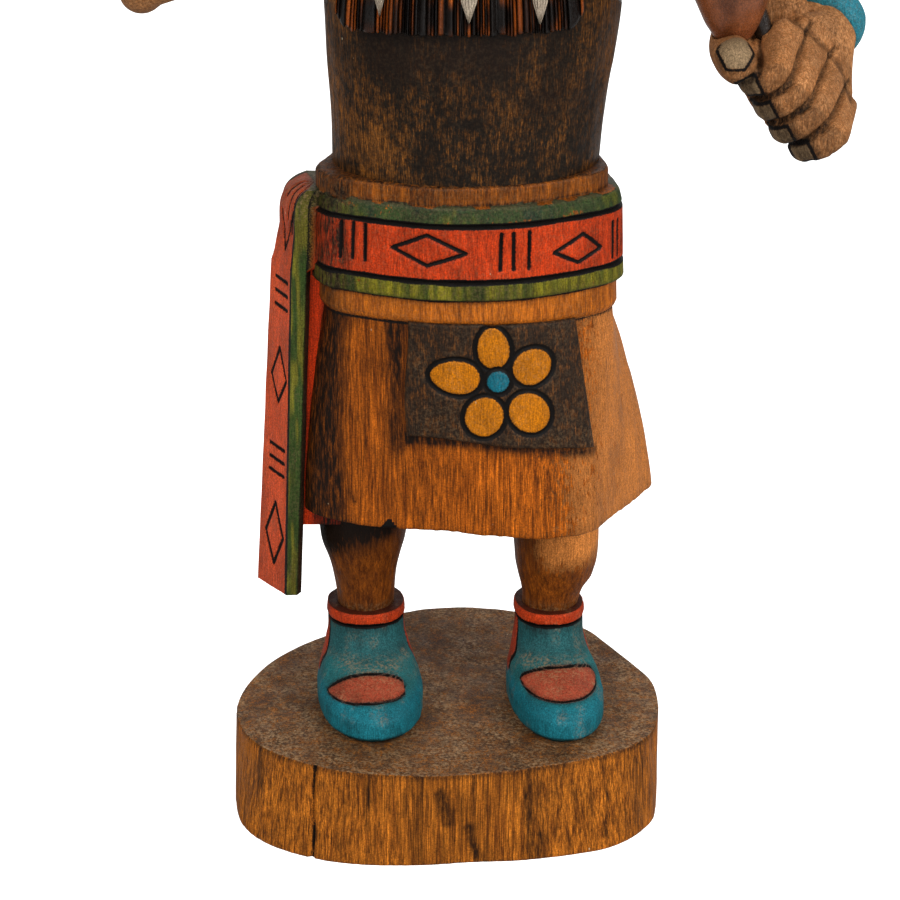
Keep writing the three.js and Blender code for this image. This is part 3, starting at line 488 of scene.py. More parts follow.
def make_foot(side):
    foot = FEET[side]
    low, high, proud = CUFF
    angle = angles(-math.pi - 0.2, 0.2, 130, 40)
    levels = np.concatenate([[0], np.linspace(0.5, low, 62)])
    rings = [moccasin_ring(foot, h, angle) for h in levels]
    for h, out in ((low + 0.02, -0.5), (low + 0.25, proud - 0.15), (low + 0.5, proud),
                   (low + 1.2, proud + 0.15), (low + 2.2, proud + 0.1), (high - 0.4, proud),
                   (high - 0.1, proud - 0.25), (high, -0.2), (high, -1.6)):
        ring = moccasin_ring(foot, low, angle, out)
        ring[:, 2] = h
        rings.append(ring)
    shoe = tube(np.array(rings))
    p = shoe.points
    z = p[:, 2]
    turn = np.tile(angle, len(rings))
    turn = np.concatenate([turn, [-math.pi / 2] * 2])
    turned = turn + math.pi / 2 - foot["turn"]
    patch = foot["patch"]
    across = np.clip((turned - patch["aside"]) / patch["reach"], -3, 3)
    inner = np.clip(across, -1, 1)
    lens_mid = patch["middle"] + patch["rise"] * inner - patch["droop"] * inner ** 2
    half = patch["half"] * np.maximum(1 - across ** 2, 0) ** np.where(across < 0, 0.6, 0.3)
    # Height along the slope counts more than upright height where the instep lies flat
    slope = 2.3
    gap = np.where(np.abs(across) < 1, np.abs(np.abs(z - lens_mid) - half) * slope,
                   np.hypot((np.abs(across) - 1) * 13, (z - lens_mid) * slope))
    body = z < low
    gap = np.where(body, gap, FAR)
    shoe.coat_all(TURQUOISE)
    shoe.coat(step(10.5, 8, z) * body, "#1B6C77")
    shoe.coat(step(13.2, 14.6, z) * body, "#27585A")
    inside = step(0.12, -0.12, np.abs(z - lens_mid) - half) * (np.abs(across) < 1) * body
    shoe.coat(inside, "#9A4630")
    strip = 1.36 + 0.35 * step(15, 9, z)
    heel = step(strip, strip + 0.05, np.abs(turned)) * body * step(7, 8.5, z)
    shoe.coat(heel, "#A03C20")
    seam = np.abs(np.abs(turned) - strip) * 10.5 + 20 * ((z < 8) | (z > low))
    shoe.coat(step(low, low + 0.2, z), "#AE3C16")
    shoe.coat(step(high - 0.15, high, z), "#4A1E0C")
    shoe.knife(np.minimum(gap, seam), 1.0, 0.5, 0.42)
    shoe.ink = np.minimum(shoe.ink, np.abs(z - low) - 0.55 - 0.2 * lumps(p, 3, 14))
    instep = bell(z, 13.6, 1.3) * step(0.9, 0.2, np.abs(turned) / 1.6)
    specks = step(0.1, 0.7, lumps(p, (2.6, 2.6, 4), 11))
    shoe.dust = np.clip(0.6 * instep + 0.4 * specks + 0.25 * inside, 0, 0.8)
    blots = step(0.2, 0.8, lumps(p, (4, 4, 5), 16))
    ankle_blots = step(0.2, 0.8, lumps(p, (3, 3, 6), 12)) * step(14, 18, z)
    sole = step(2.8, 0, z)
    # Painted shadow on the moccasin just under the cuff
    shade_under_cuff = step(2.6, 0.4, low - z) * body
    shoe.stain_and_shade = np.clip(0.6 * sole + 0.3 * blots + 0.35 * ankle_blots, 0, 0.8)
    shoe.stain_and_shade = np.clip(shoe.stain_and_shade + 0.5 * step(1.3, 0.3, gap) + 0.35 * shade_under_cuff, 0, 0.8)
    shoe.sink(0.12 * (1 + lumps(p, (1.4, 1.4, 3), 13)))
    return shoe


def make_leg(side):
    angle = np.linspace(0, TAU, 96, endpoint=False)
    levels = np.linspace(24, 60, 66)
    rows = smooth_rows(LEGS[side], levels)
    ankle = FEET[side]["ankle"]
    leg = tube(np.array([ring_at(h, *oval(ankle + x, 0, a, b, angle)) for h, (x, a, b) in zip(levels, rows)]))
    p = leg.points
    leg.sink(0.15 * (1 + lumps(p, (1.5, 1.5, 8), 21)) + 0.2 * (1 + lumps(p, (5, 5, 10), 22)))
    x, z = p[:, 0] - ankle, p[:, 2]
    dirt = 0.25 * lumps(p, 6, LEG_SEEDS[side]) + 0.4 * step(28, 25, z)
    if side == "left":
        # The leg's top under the hem is darkened: a burn mark, and painted shade under the kilt
        burn_and_shade = step(42, 49, z + 2.5 * lumps(p, (5, 5, 10), 23) - 0.4 * x)
        leg.stain_and_shade = np.clip(0.2 + 1.4 * burn_and_shade + dirt, 0, 1.5)
    else:
        # Painted shade on the inner side of the leg's top under the kilt, and a painted highlight on its
        # upper outer side
        leg.stain_and_shade = np.clip(0.5 * step(2, -8, x) * step(40, 52, z) + dirt, 0, 0.9)
        leg.coat(step(32, 44, z) * step(-10, 1, x) * 0.9, "#C8803E")
    leg.dust = 0.35 * step(28, 25.5, z)
    return leg


# Kilt
HEM = 54.4
HEM_DROOP = 1.2
KILT_INSET = 1.7
WAISTBAND = 109.4
WAISTBAND_DROOP = 1.2
WAIST_X = 5.5
BELT_HALF = (38.0, 30.0)
WAIST_OUTLINE = [
    [0.92, 0.06], [0.86, 0.34], [0.68, 0.64], [0.4, 0.9], [0.03, 1], [-0.34, 0.97], [-0.63, 0.8],
    [-0.85, 0.45], [-0.95, 0.04], [-1.01, -0.3], [-0.92, -0.6], [-0.75, -0.74], [-0.53, -0.87],
    [-0.27, -0.98], [-0.02, -1], [0.25, -0.96], [0.51, -0.83], [0.77, -0.63], [0.895, -0.48], [0.95, -0.28],
]
# Chip at the hem's front and a knife mark beside it
CHIP_X = -15
KNIFE_MARK = [(-25.2, 63.6), (-23.6, 61)]
HEM_OUTLINE = [
    [52.2, 10], [46, 27], [30, 37], [8, 38.5], [-16, 35], [-32, 22], [-37.6, 4], [-35.7, -13],
    [-22.2, -21.7], [-2.5, -25.4], [14.7, -27.9], [27, -27], [35.4, -22.6], [42.6, -10.5], [49.6, 1.5],
]


def reach_of(corners):
    """Distances of a closed curve from its middle, as a function of the direction."""
    curve = closed_curve(corners, 900)
    direction = np.arctan2(curve[:, 1], curve[:, 0])
    order = np.argsort(direction)
    far = np.hypot(*curve.T)
    return lambda angle: np.interp(angle, direction[order], far[order], period=TAU)


hem_reach = reach_of(np.array(HEM_OUTLINE) - (WAIST_X, 0))
waist_reach = reach_of(np.array(WAIST_OUTLINE) * BELT_HALF)


def kilt_points(angle, z, out=0.0):
    """Points of the kilt in directions and at heights: the waist's outline widens into the hem's."""
    flare = 1 - np.clip((z - HEM) / (WAISTBAND - HEM), 0, 1) ** 1.45
    far = (waist_reach(angle) - KILT_INSET) * (1 - flare) + hem_reach(angle) * flare
    droop = HEM_DROOP * flare * step(-5, 30, WAIST_X + far * np.cos(angle))
    return np.column_stack([WAIST_X + (far + out) * np.cos(angle), (far + out) * np.sin(angle), z - droop])


def waistband_hang(x):
    """How far the waistband's lower edge hangs down at x from the waist's middle."""
    return WAISTBAND_DROOP * step(-5, 30, x)


def kilt_front(x, z):
    """Depth of the kilt's front at given x and heights."""
    low, high = np.full(len(x), -math.pi + 0.15), np.full(len(x), -0.1)
    for _ in range(26):
        middle = (low + high) / 2
        left = kilt_points(middle, z)[:, 0] < x
        low, high = np.where(left, middle, low), np.where(left, high, middle)
    return kilt_points(middle, z)[:, 1]


def make_kilt():
    angle = angles(-math.pi - 0.1, 0.5, 250, 90)
    levels = np.concatenate([[HEM, HEM + 0.25, HEM + 0.7], np.linspace(HEM + 1.4, WAISTBAND + 1, 74)])
    inset = np.interp(levels, [HEM, HEM + 0.25, HEM + 0.7], [-1.1, -0.4, 0])
    under = kilt_points(angle, np.full(len(angle), HEM), -6)
    rings = [under] + [kilt_points(angle, np.full(len(angle), h), e) for h, e in zip(levels, inset)]
    kilt = tube(np.array(rings))
    p = kilt.points
    x, y, z = p.T
    kilt.sink(0.14 * (1 + lumps(p, (1.3, 1.3, 10), 31)) + 0.22 * (1 + lumps(p, (7, 7, 16), 32)))
    mottle = lumps(p, (9, 9, 18), 33)
    # Painted shade: the kilt's left side is darker
    left = step(4, -26, x) * (y < 10)
    # Painted shadow of the pendant on the kilt
    pendant_shadow = step(-22.5, -29, x) * (y < 2)
    # Burn, and painted shade along the apron's raised left edge
    burn_and_shade_by_apron = bell(x, -13, 2.4) * (y < 0) * step(72, 80, z)
    hem = step(HEM + 2.2, HEM, z)
    # Painted shade under the waistband
    top = step(WAISTBAND - 5, WAISTBAND, z)
    drop = APRON["drop"] * np.clip((x - APRON["left"]) / APRON["width"], 0, 1) ** 2
    # Painted shadow and stain under the apron's lower edge
    shadow_and_stain_under_apron = bell(z, APRON["bottom"] - drop - 0.8, 1.5)
    shadow_and_stain_under_apron = shadow_and_stain_under_apron * (y < 0) * (x > APRON["left"] - 1) * (x < APRON["bottom_right"] + 1)
    fibres = step(0.1, 0.8, lumps(p, (2.2, 2.2, 26), 35))
    stain_and_shade = (0.02 + 0.1 * left + pendant_shadow + 1.05 * burn_and_shade_by_apron * (0.8 + 0.4 * mottle) + 0.2 * hem + 0.3 * top
             + 0.95 * shadow_and_stain_under_apron + 0.14 * fibres + 0.2 * mottle)
    mark = step(0.9, 0.3, line_distance([KNIFE_MARK], p[:, [0, 2]])) * (y < 0)
    kilt.stain_and_shade = np.maximum(np.clip(stain_and_shade, 0, 1), 0.85 * mark)
    chip = step(2.6, 1.6, np.abs(x - CHIP_X) + 0.7 * (z - HEM) - 0.6) * step(HEM + 3.8, HEM + 2.8, z)
    kilt.ink = np.where((chip > 0.5) & (y < 0), -0.5, kilt.ink)
    # Painted light: the kilt's right side is lighter
    kilt.coat(step(14, 42, x + 3 * mottle) * (y < 20) * (0.8 + 0.1 * mottle), "#CC8240")
    kilt.ink = np.minimum(kilt.ink, np.abs(z - WAISTBAND + waistband_hang(x - WAIST_X) + 0.35) - 0.35)
    build("kilt", kilt, carved_wood("kilt_wood", "#B46214", "#683204", along=16, across=0.7, contrast=1.8))


# Waistband, belt and rim
BELT = (115.8, 138.2)
RIM = 143.2
LOW_BORDER, HIGH_BORDER = 4.8, 4.1
RIM_ASIDE = -1.5
LINE_WIDTH, LINE_DEPTH = 1.1, 0.7
# Directions of three bars in degrees, and their height
BARS = [
    [-146.5, -142, -137.1, 128.6], [-77.7, -71.9, -64.6, 127.9], [-24.4, -20.9, -17.2, 126.7],
    [30, 36, 42, 127.3], [91, 96, 101, 127.3], [149, 154, 159, 127.3],
]
# Left, top, right and bottom corners as direction and height
DIAMONDS = [
    [(-125.9, 128.3), (-110.4, 131.9), (-93.4, 127.7), (-110.4, 124.6)],
    [(-52.6, 126.4), (-38.8, 129.9), (-30.7, 125.7), (-41.2, 123.1)],
    [(-7, 127), (6, 130.9), (19, 127), (6, 123.4)], [(53, 127.3), (66, 131), (79, 127.3), (66, 123.6)],
    [(113, 127.3), (126, 131), (139, 127.3), (126, 123.6)],
]


def belt_motifs(to_arc):
    """Diamonds and triple bars on the middle band, as lines along the arc and height."""
    lines = []
    for corners in DIAMONDS:
        lines.append([(to_arc(math.radians(a)), h) for a, h in corners + corners[:1]])
    for *directions, height in BARS:
        for k, direction in enumerate(directions):
            at = to_arc(math.radians(direction))
            lean = 0.3 * (hashed(np.array(int(direction * 10)), 5) - 0.5)
            lines.append([(at - lean, height - 4.4), (at + lean, height + 4.3)])
    return lines


def make_belt():
    low, high = BELT
    low_line, high_line = low + LOW_BORDER, high - HIGH_BORDER
    profile = np.array([
        [WAISTBAND - 0.4, -3.8], [WAISTBAND, -1.9], [WAISTBAND + 0.6, -1.3], [WAISTBAND + 1.6, -0.9],
        [low - 0.2, -1.1], [low + 0.15, 0.3], [low + 0.6, 0.7], [low_line - 0.6, 0.5], [low_line, -0.25],
        [low_line + 0.6, 0.4], [high_line - 0.6, 0], [high_line, -0.8], [high_line + 0.6, -0.2],
        [high - 1.2, -0.8], [high - 0.4, -1.4], [high, -1.6], [high + 0.2, -2.2],
        [RIM - 0.9, -2.2], [RIM - 0.3, -2.6], [RIM, -3.4], [RIM, -6.5],
    ])
    along = np.concatenate([[0], np.cumsum(np.hypot(*np.diff(profile, axis=0).T))])
    spots = np.linspace(0, along[-1], 122)
    z, out = (np.interp(spots, along, profile[:, k]) for k in (0, 1))
    angle = angles(-math.pi - 0.15, 0.45, 330, 80)
    far = waist_reach(angle)
    rings = []
    for h, o in zip(z, out):
        aside = RIM_ASIDE * step(high - 0.2, high + 0.2, h)
        x, y = (far + o) * np.cos(angle), (far + o) * np.sin(angle)
        hang = waistband_hang(x) * step(low, low - 1.5, h)
        rings.append(np.column_stack([WAIST_X + x + aside, y, h - hang]))
    belt = tube(np.array(rings))
    p = belt.points
    dense = np.linspace(-math.pi - 0.2, math.pi + 0.6, 4000)
    ox, oy = waist_reach(dense) * (np.cos(dense), np.sin(dense))
    length = np.concatenate([[0], np.cumsum(np.hypot(np.diff(ox), np.diff(oy)))])

    def to_arc(direction):
        return float(np.interp(direction, dense, length))

    arc = np.concatenate([np.tile(np.interp(angle, dense, length), len(z)), [0, 0]])
    height = p[:, 2]
    middle = (height > low_line - 0.3) & (height < high_line + 0.3)
    flat = np.column_stack([arc, height + 0.12 * lumps(p, 4, 41)])
    motif = np.where(middle, line_distance(belt_motifs(to_arc), flat), FAR)
    belt.coat((height > low + 0.05) & (height < high - 0.1), GREEN)
    belt.coat((height > high_line) & (height < high - 0.1), DEEP_GREEN)
    belt.coat(step(low_line - 0.3, low_line, height) * step(high_line + 0.3, high_line, height), RED)
    streak = 0.6 * lumps(p, (1.1, 1.1, 7), 42) + 0.5 * lumps(p, (6, 6, 12), 46)
    lower = (height > low + 0.05) & (height < low_line - 0.2)
    belt.coat(lower * step(-0.35, 0.55, streak) * step(low, low + 1.4, height), LIME)
    belt.coat(lower * step(0.2, 0.8, -streak), "#24401C")
    upper = (height > high_line + 0.2) & (height < high + 0.2 + 0.9 * lumps(p, (3, 3, 4), 47))
    belt.coat(upper, DEEP_GREEN)
    belt.coat(upper * step(0.0, 0.5, streak), "#646A24")
    belt.coat(upper * step(0.15, 0.6, -streak), "#24402A")
    belt.coat(upper * step(high - 0.9, high, height) * 0.55, "#6A6850")
    rubbed = step(-0.1, 0.7, lumps(p, (4.5, 4.5, 2.5), 52))
    belt.paint[:, 3] *= 1 - rubbed * (0.55 * upper + 0.35 * lower)
    belt.knife(motif, LINE_WIDTH, LINE_DEPTH, 0.46)
    edge = np.minimum(np.abs(height - low_line), np.abs(height - high_line))
    belt.ink = np.minimum(belt.ink, edge - 0.72 - 0.22 * lumps(p, (5, 5, 2), 48))
    belt.ink = np.minimum(belt.ink, np.abs(height - (low - 0.05)) - 0.42 - 0.15 * lumps(p, (4, 4, 2), 50))
    # Painted shadow of the pendant on the belt's left, with stain
    corner = step(-22, -31, p[:, 0]) * (p[:, 1] < 5)
    rim = step(high + 0.3, high + 0.8, height)
    # Painted shade on the rim's ledge where the torso stands on it
    ledge = step(RIM - 0.5, RIM, height)
    # Painted shade along the belt's top edge under the rim and under its lower edge
    above_belt = step(0.6, 0, np.abs(height - high - 0.5))
    under_belt = step(1.2, 0, low - height) * step(2.0, 0.8, low - height)
    grime = 0.15 * lumps(p, (6, 6, 10), 43) + rim * (0.08 + 0.2 * lumps(p, (2, 2, 8), 49))
    belt.stain_and_shade = 0.04 + 0.8 * corner + grime + 0.35 * above_belt + 0.7 * ledge + 0.5 * under_belt
    belt.stain_and_shade = np.clip(belt.stain_and_shade, 0, 0.92)
    belt.dust = 0.12 + 0.1 * lumps(p, 9, 44)
    belt.sink(0.06 * (1 + lumps(p, (1.2, 1.2, 5), 45)))
    build("belt", belt, carved_wood("belt_wood", "#BA6A18", "#844610", along=9, across=0.7, contrast=1.2))


# Apron with its flower
APRON = dict(bottom=79.9, drop=4.3, left=-10.5, width=45.0, top_right=30.1, bottom_right=35.2, proud=1.2)
FLOWER = (11.5, 95.3)
DISC = 3.3
# Direction in degrees, distance of the middle, half length, half width, and how pointed
PETALS = [
    [98, 8.6, 5.4, 4, 0.1], [22, 8.9, 4.9, 4.6, 0.05], [-47, 11.2, 5.6, 4.8, 0.0],
    [-110, 9.6, 5.3, 4.8, 0.0], [174, 10.4, 6.2, 4.4, 0.12],
]


def make_apron():
    columns, rows = 150, 118
    u, v = np.meshgrid(np.linspace(0, 1, columns), np.linspace(0, 1, rows))
    right = APRON["bottom_right"] + (APRON["top_right"] - APRON["bottom_right"]) * v
    left = APRON["left"] - 0.5 * np.sin(v * 5)
    x = left + (right - left) * u
    bottom = APRON["bottom"] - APRON["drop"] * u ** 2 + 0.4 * np.sin(u * 8 + 0.6) * (1 - v)
    z = bottom + (WAISTBAND + 0.6 - waistband_hang(x - WAIST_X) - bottom) * v
    y = kilt_front(x.ravel(), z.ravel()).reshape(x.shape)
    edge = np.minimum.reduce([u * 40, (1 - u) * 40, v * 30, (1 - v) * 30])
    round_edge = 0.5 * np.clip(1 - edge / 0.7, 0, 1) ** 2
    outer = np.stack([x, y - APRON["proud"] + round_edge, z], axis=-1)
    inner = np.stack([x, y + 2, z], axis=-1)
    apron = slab(outer, inner)
    p = apron.points
    front = np.arange(len(p)) < columns * rows
    border = np.full(len(p), FAR)
    petal = np.zeros(len(p), bool)
    for degrees, far, long, wide, point in PETALS:
        a = math.radians(degrees)
        dx = p[:, 0] - FLOWER[0] - far * math.cos(a)
        dz = p[:, 2] - FLOWER[1] - far * math.sin(a)
        along, across = dx * math.cos(a) + dz * math.sin(a), dz * math.cos(a) - dx * math.sin(a)
        half = wide * (1 - point * along / long)
        size = np.hypot(along / long, across / half) + 1e-6
        slope = np.hypot(along / long ** 2, across / half ** 2) / size
        gap = (size - 1) / slope
        border = np.minimum(border, gap)
        petal |= gap < 0.1
    disc = np.hypot(p[:, 0] - FLOWER[0], p[:, 2] - FLOWER[1]) - DISC
    border = np.where(disc < 0, FAR, np.abs(border - 0.42))
    border = np.where(front, np.minimum(border, np.abs(disc)), FAR)
    apron.coat_all("#281D15", 0.58)
    apron.coat(petal & front, OCHRE)
    apron.coat((disc < 0) & front, BLUE)
    apron.knife(border, 1.4, 0.6, 0.62)
    apron.dust = 0.12 + 0.14 * lumps(p, (4, 4, 7), 51)
    apron.stain_and_shade = np.clip(0.22 * lumps(p, (4, 4, 9), 52), 0, 1) * ~petal
    apron.sink(0.07 * (1 + lumps(p, (0.9, 0.9, 7), 53)) * front)
    material = carved_wood("apron_wood", "#6C421C", "#3A2310", along=10, across=0.7, contrast=1.5, soft=0.32)
    build("apron", apron, material, sharp=60)


# Hanging belt end
PENDANT = dict(bottom=32.0, top=138.2, web=50.4, fold=117.8)
# Depth and x of its six corners at the fold, and how far they lean out at the bottom
PENDANT_DEPTHS = [-11.4, -13.2, -13.4, -2.4, 5, 5.4]
PENDANT_X = [-33.6, -34.6, -38.2, -43.9, -43.6, -39]
PENDANT_LEAN = [4.1, 4.1, 3.2, 5.6, 5, 4.4]
# Diamonds on its face: heights of top, middle and bottom
PENDANT_DIAMONDS = ((96.7, 89, 82.5), (55.4, 46.8, 38.7))
# Triple bars: heights of the top strokes, and the step between strokes
PENDANT_BARS = (114.1, 70.4)
BAR_STEP = 3.5
# x where the web ends inside the kilt
WEB_INSIDE = -26.0


def pendant_corners(z):
    """Six corners of the band at a height, from the front right round its outer face to the rear right."""
    x = np.array(PENDANT_X, float)
    if z <= PENDANT["fold"]:
        t = (z - PENDANT["bottom"]) / (PENDANT["fold"] - PENDANT["bottom"])
        x = x - np.array(PENDANT_LEAN) * (1 - t)
    else:
        t = (z - PENDANT["fold"]) / (PENDANT["top"] - PENDANT["fold"])
        tuck = 1.9 * min(1, t * 2.2) + 6.2 * t ** 9
        inside = -24.0
        blend = step(0.0, 0.06, np.array(t))
        folded = np.array([inside, -34.6 + tuck / 3, -38.2 + tuck / 2, -43.6 + tuck, -43.3 + tuck, inside])
        x = x * (1 - blend) + folded * blend
    return np.column_stack([x, PENDANT_DEPTHS])


def make_pendant():
    bottom, top, fold = PENDANT["bottom"], PENDANT["top"], PENDANT["fold"]
    counts = [4, 16, 44, 22, 8, 14]
    levels = np.concatenate([[bottom], np.linspace(bottom + 0.4, top - 0.4, 250), [top]])
    rings, sides = [], []
    for h in levels:
        corners = pendant_corners(h)
        ring, side = [], []
        for k, count in enumerate(counts):
            a, b = corners[k], corners[(k + 1) % 6]
            t = np.linspace(0, 1, count, endpoint=False)[:, None]
            ring.append(a + (b - a) * t)
            side += list(k + t[:, 0])
        ring = np.vstack(ring)[::-1]
        middle = ring.mean(axis=0)
        shrink = 0.985 if h in (bottom, top) else 1.0
        rings.append(np.column_stack([middle + (ring - middle) * shrink, np.full(len(ring), h)]))
        sides = side[::-1]
    band = tube(np.array(rings))
    p = band.points
    side = np.concatenate([np.tile(sides, len(levels)), [0, 0]])
    z = p[:, 2]
    # Run along the outer face from its front edge, in mm
    face, rear = 12.4, 7.4
    run = np.where(side < 3, (side - 2) * face, face + (side - 3) * rear)
    band.coat_all("#CC5630")
    green = (side > 0.9) & (side < 2.02)
    band.coat(green, "#364A1E")
    band.coat(green * step(-0.2, 0.6, lumps(p, (0.9, 0.9, 7), 61)), "#6E6A22")
    band.coat(side < 0.9, "#2A1A12")
    band.coat(side > 3.82, GREEN)
    band.coat((side < 0.95) & (z > fold) & (z < 134), "#B4340C")
    # Motifs down the face: run across it and height
    motifs = []
    for high, middle, low in PENDANT_DIAMONDS:
        motifs.append([(2.4, middle), (6.2, high), (10, middle), (6.2, low), (2.4, middle)])
    motifs.append([(2.2, 132), (6.2, 122), (10.2, 131)])
    # Creases of the fold
    motifs += [[(2.5, 138), (1.6, 133), (2.6, 127)], [(6.5, 138), (5, 134.5), (5.6, 130)],
               [(10, 138), (9, 135)]]
    for highest in PENDANT_BARS:
        for k in range(3):
            motifs.append([(2.8, highest - BAR_STEP * k), (9.4, highest - BAR_STEP * k + 0.3)])
    flat = np.column_stack([run, z])
    motif = np.where((side > 2.02) & (side < 3.8), line_distance(motifs, flat), FAR)
    border = np.minimum(np.abs(side - 2.04) * 12, np.abs(side - 3.8) * rear)
    band.knife(motif, 1.1, 0.6, 0.46)
    band.ink = np.minimum(band.ink, border - 0.5)
    band.ink = np.minimum(band.ink, np.abs(side - 0.95) * 3 - 0.25)
    above = step(fold, fold + 8, z)
    band.stain_and_shade = np.clip(0.12 + 0.14 * step(75, 50, z) + 0.3 * above + 0.2 * lumps(p, (3, 3, 10), 62), 0, 0.8)
    band.dust = np.clip(0.1 + 0.45 * step(fold + 10, top - 2, z) + 0.1 * lumps(p, 6, 63), 0, 0.7)
    band.sink(0.08 * (1 + lumps(p, (1.1, 1.1, 7), 64)))
    # Web that joins the band to the kilt
    web_z = np.linspace(PENDANT["web"], fold, 60)
    t = (fold - web_z) / (fold - PENDANT["web"])
    share = np.linspace(0, 1, 16)

    def web_face(left, lean, y):
        x = (left - lean * t)[:, None] * (1 - share) + WEB_INSIDE * share
        return np.stack([x, np.full(x.shape, y), np.repeat(web_z[:, None], len(share), axis=1)], axis=-1)

    web = slab(web_face(-39, 2, -10.4), web_face(-41, 3, 3.0))
    web.coat_all("#C43A0A")
    wx = web.points[:, 0]
    # Painted shade where the web runs into the kilt
    web.stain_and_shade = np.clip(step(-31.4, -29.8, wx + 0.06 * (fold - web.points[:, 2])), 0, 0.95)
    build("pendant", join(band, web), carved_wood("pendant_wood", "#8E5420", "#5A3010"), sharp=40)


# Torso

# Height, x, half width, half depth, and how far the middle stands forward
TORSO = [
    [142, 3.8, 32.4, 26.7, 0.4], [158, 4.4, 33.3, 27.2, 0.5], [170, 5, 34.6, 27.6, 0.6],
    [182, 5.4, 35.5, 27.8, 0.6], [194, 5.5, 36, 26.6, 0.5], [202, 5.5, 35.2, 24.6, 0.3],
    [209, 5.5, 31.4, 21.2, 0], [214, 5.5, 25, 18, 0], [218.5, 5.2, 15.6, 14.6, 0],
]
SHOULDER = 197.6
SEATS = (-28.6, 39.6)


def make_torso():
    angle = angles(-math.pi - 0.2, 0.2, 190, 60)
    levels = np.linspace(142, 218.5, 116)
    rings = [ring_at(h, *oval(x, -forward, a, b, angle, 0.05, 2.1))
             for h, (x, a, b, forward) in zip(levels, smooth_rows(TORSO, levels))]
    body = tube(np.array(rings))
    p = body.points
    body.sink(0.12 * (1 + lumps(p, (1.3, 1.3, 12), 71)) + 0.15 * (1 + lumps(p, (6, 6, 12), 72)))
    p = body.points
    near = (np.abs(p[:, 1]) < 16) & (np.abs(p[:, 2] - SHOULDER) < 16)
    p[:, 0] = np.where(near, np.clip(p[:, 0], *SEATS), p[:, 0])
    x, y, z = p.T
    patch = lumps(p, (9, 9, 12), 73) * 0.6 + lumps(p, (3.2, 3.2, 8), 74) * 0.4
    # Lighter places: paint worn to the wood on patches, and painted sheen along the torso's sides
    light = (bell(x, 39, 5) * step(150, 172, z) + 0.6 * bell(x, -25, 7) * bell(z, 163, 11)
             + 0.8 * bell(x, -20, 7) * bell(z, 153, 8) + 0.45 * bell(x, -27, 3))
    light = np.where(y < 12, light, 0)
    dark = step(162, 174, z) * step(30, 20, np.abs(x - 3))
    smudge = bell(x, 26, 16) * bell(z, 163, 6) + bell(x, -8, 20) * bell(z, 174, 6)
    body.coat_all("#15100A")
    body.paint[:, 3] = np.clip(0.56 - 0.3 * light - 0.42 * patch + 0.12 * dark, 0.1, 1)
    body.stain_and_shade = np.clip(0.17 + 0.3 * dark + 0.6 * smudge - 0.2 * light - 0.35 * patch, 0, 0.9)
    body.dust = 0.06 + 0.05 * patch
    material = carved_wood("torso_wood", "#84521C", "#38200A", along=6, across=0.4, contrast=2.1, rough=0.45,
                           soft=0.42)
    build("torso", body, material)


# Beard and feather tips
BEARD = dict(bottom=178.9, proud=3.6, top=216)


def beard_point(u, v, out):
    side = 2 * u - 1
    corner = np.maximum(0, np.abs(side) - 0.86) / 0.14
    bottom = BEARD["bottom"] + 3.4 * corner ** 2
    z = bottom + (BEARD["top"] - bottom) * v
    x = 2.2 + (28.4 + (21 - 28.4) * v ** 1.6) * side
    chest = (28.4 + (25 - 28.4) * v ** 1.4) * np.sqrt(1 - (0.74 * side) ** 2)
    return np.stack([x, -chest - out, z], axis=-1)


# x, height of the tip, half width
FEATHERS = [[-16.2, 183.6, 2.4], [4.3, 182.6, 2.9], [20.6, 181.6, 2.9]]


def make_feather(place, tip, half):
    columns, rows = 25, 80
    u, v = np.meshgrid(np.linspace(-1, 1, columns), np.linspace(0, 1, rows))
    wide = np.interp(v, [0, 0.17, 0.45, 0.75, 1], [0.06, 0.62, 1, 0.9, 0.1]) * half
    share = (place - 2.2) / 56.8 + 0.5
    face = beard_point(np.array(share), np.array((tip - 174) / 60), BEARD["proud"] + 0.9)
    turn = math.radians(place * 1.2)
    across = u * wide
    crown = 0.9 * (1 - u ** 2) - 0.25 * np.abs(np.sin(u * 9 + v * 3))
    x, y = face[0] + across * math.cos(turn), face[1] + 0.5 + across * math.sin(turn) - crown
    outer = np.stack([x, y, tip + v * 27], axis=-1)
    inner = outer + (0, 4, 0)
    leaf = slab(outer, inner)
    leaf.coat_all("#A89A88")
    ray = np.abs(np.sin(u * 9 + v * 3)).ravel()
    leaf.stain_and_shade = np.concatenate([step(0.55, 0.1, ray) * 0.75, np.zeros(columns * rows)])
    return leaf


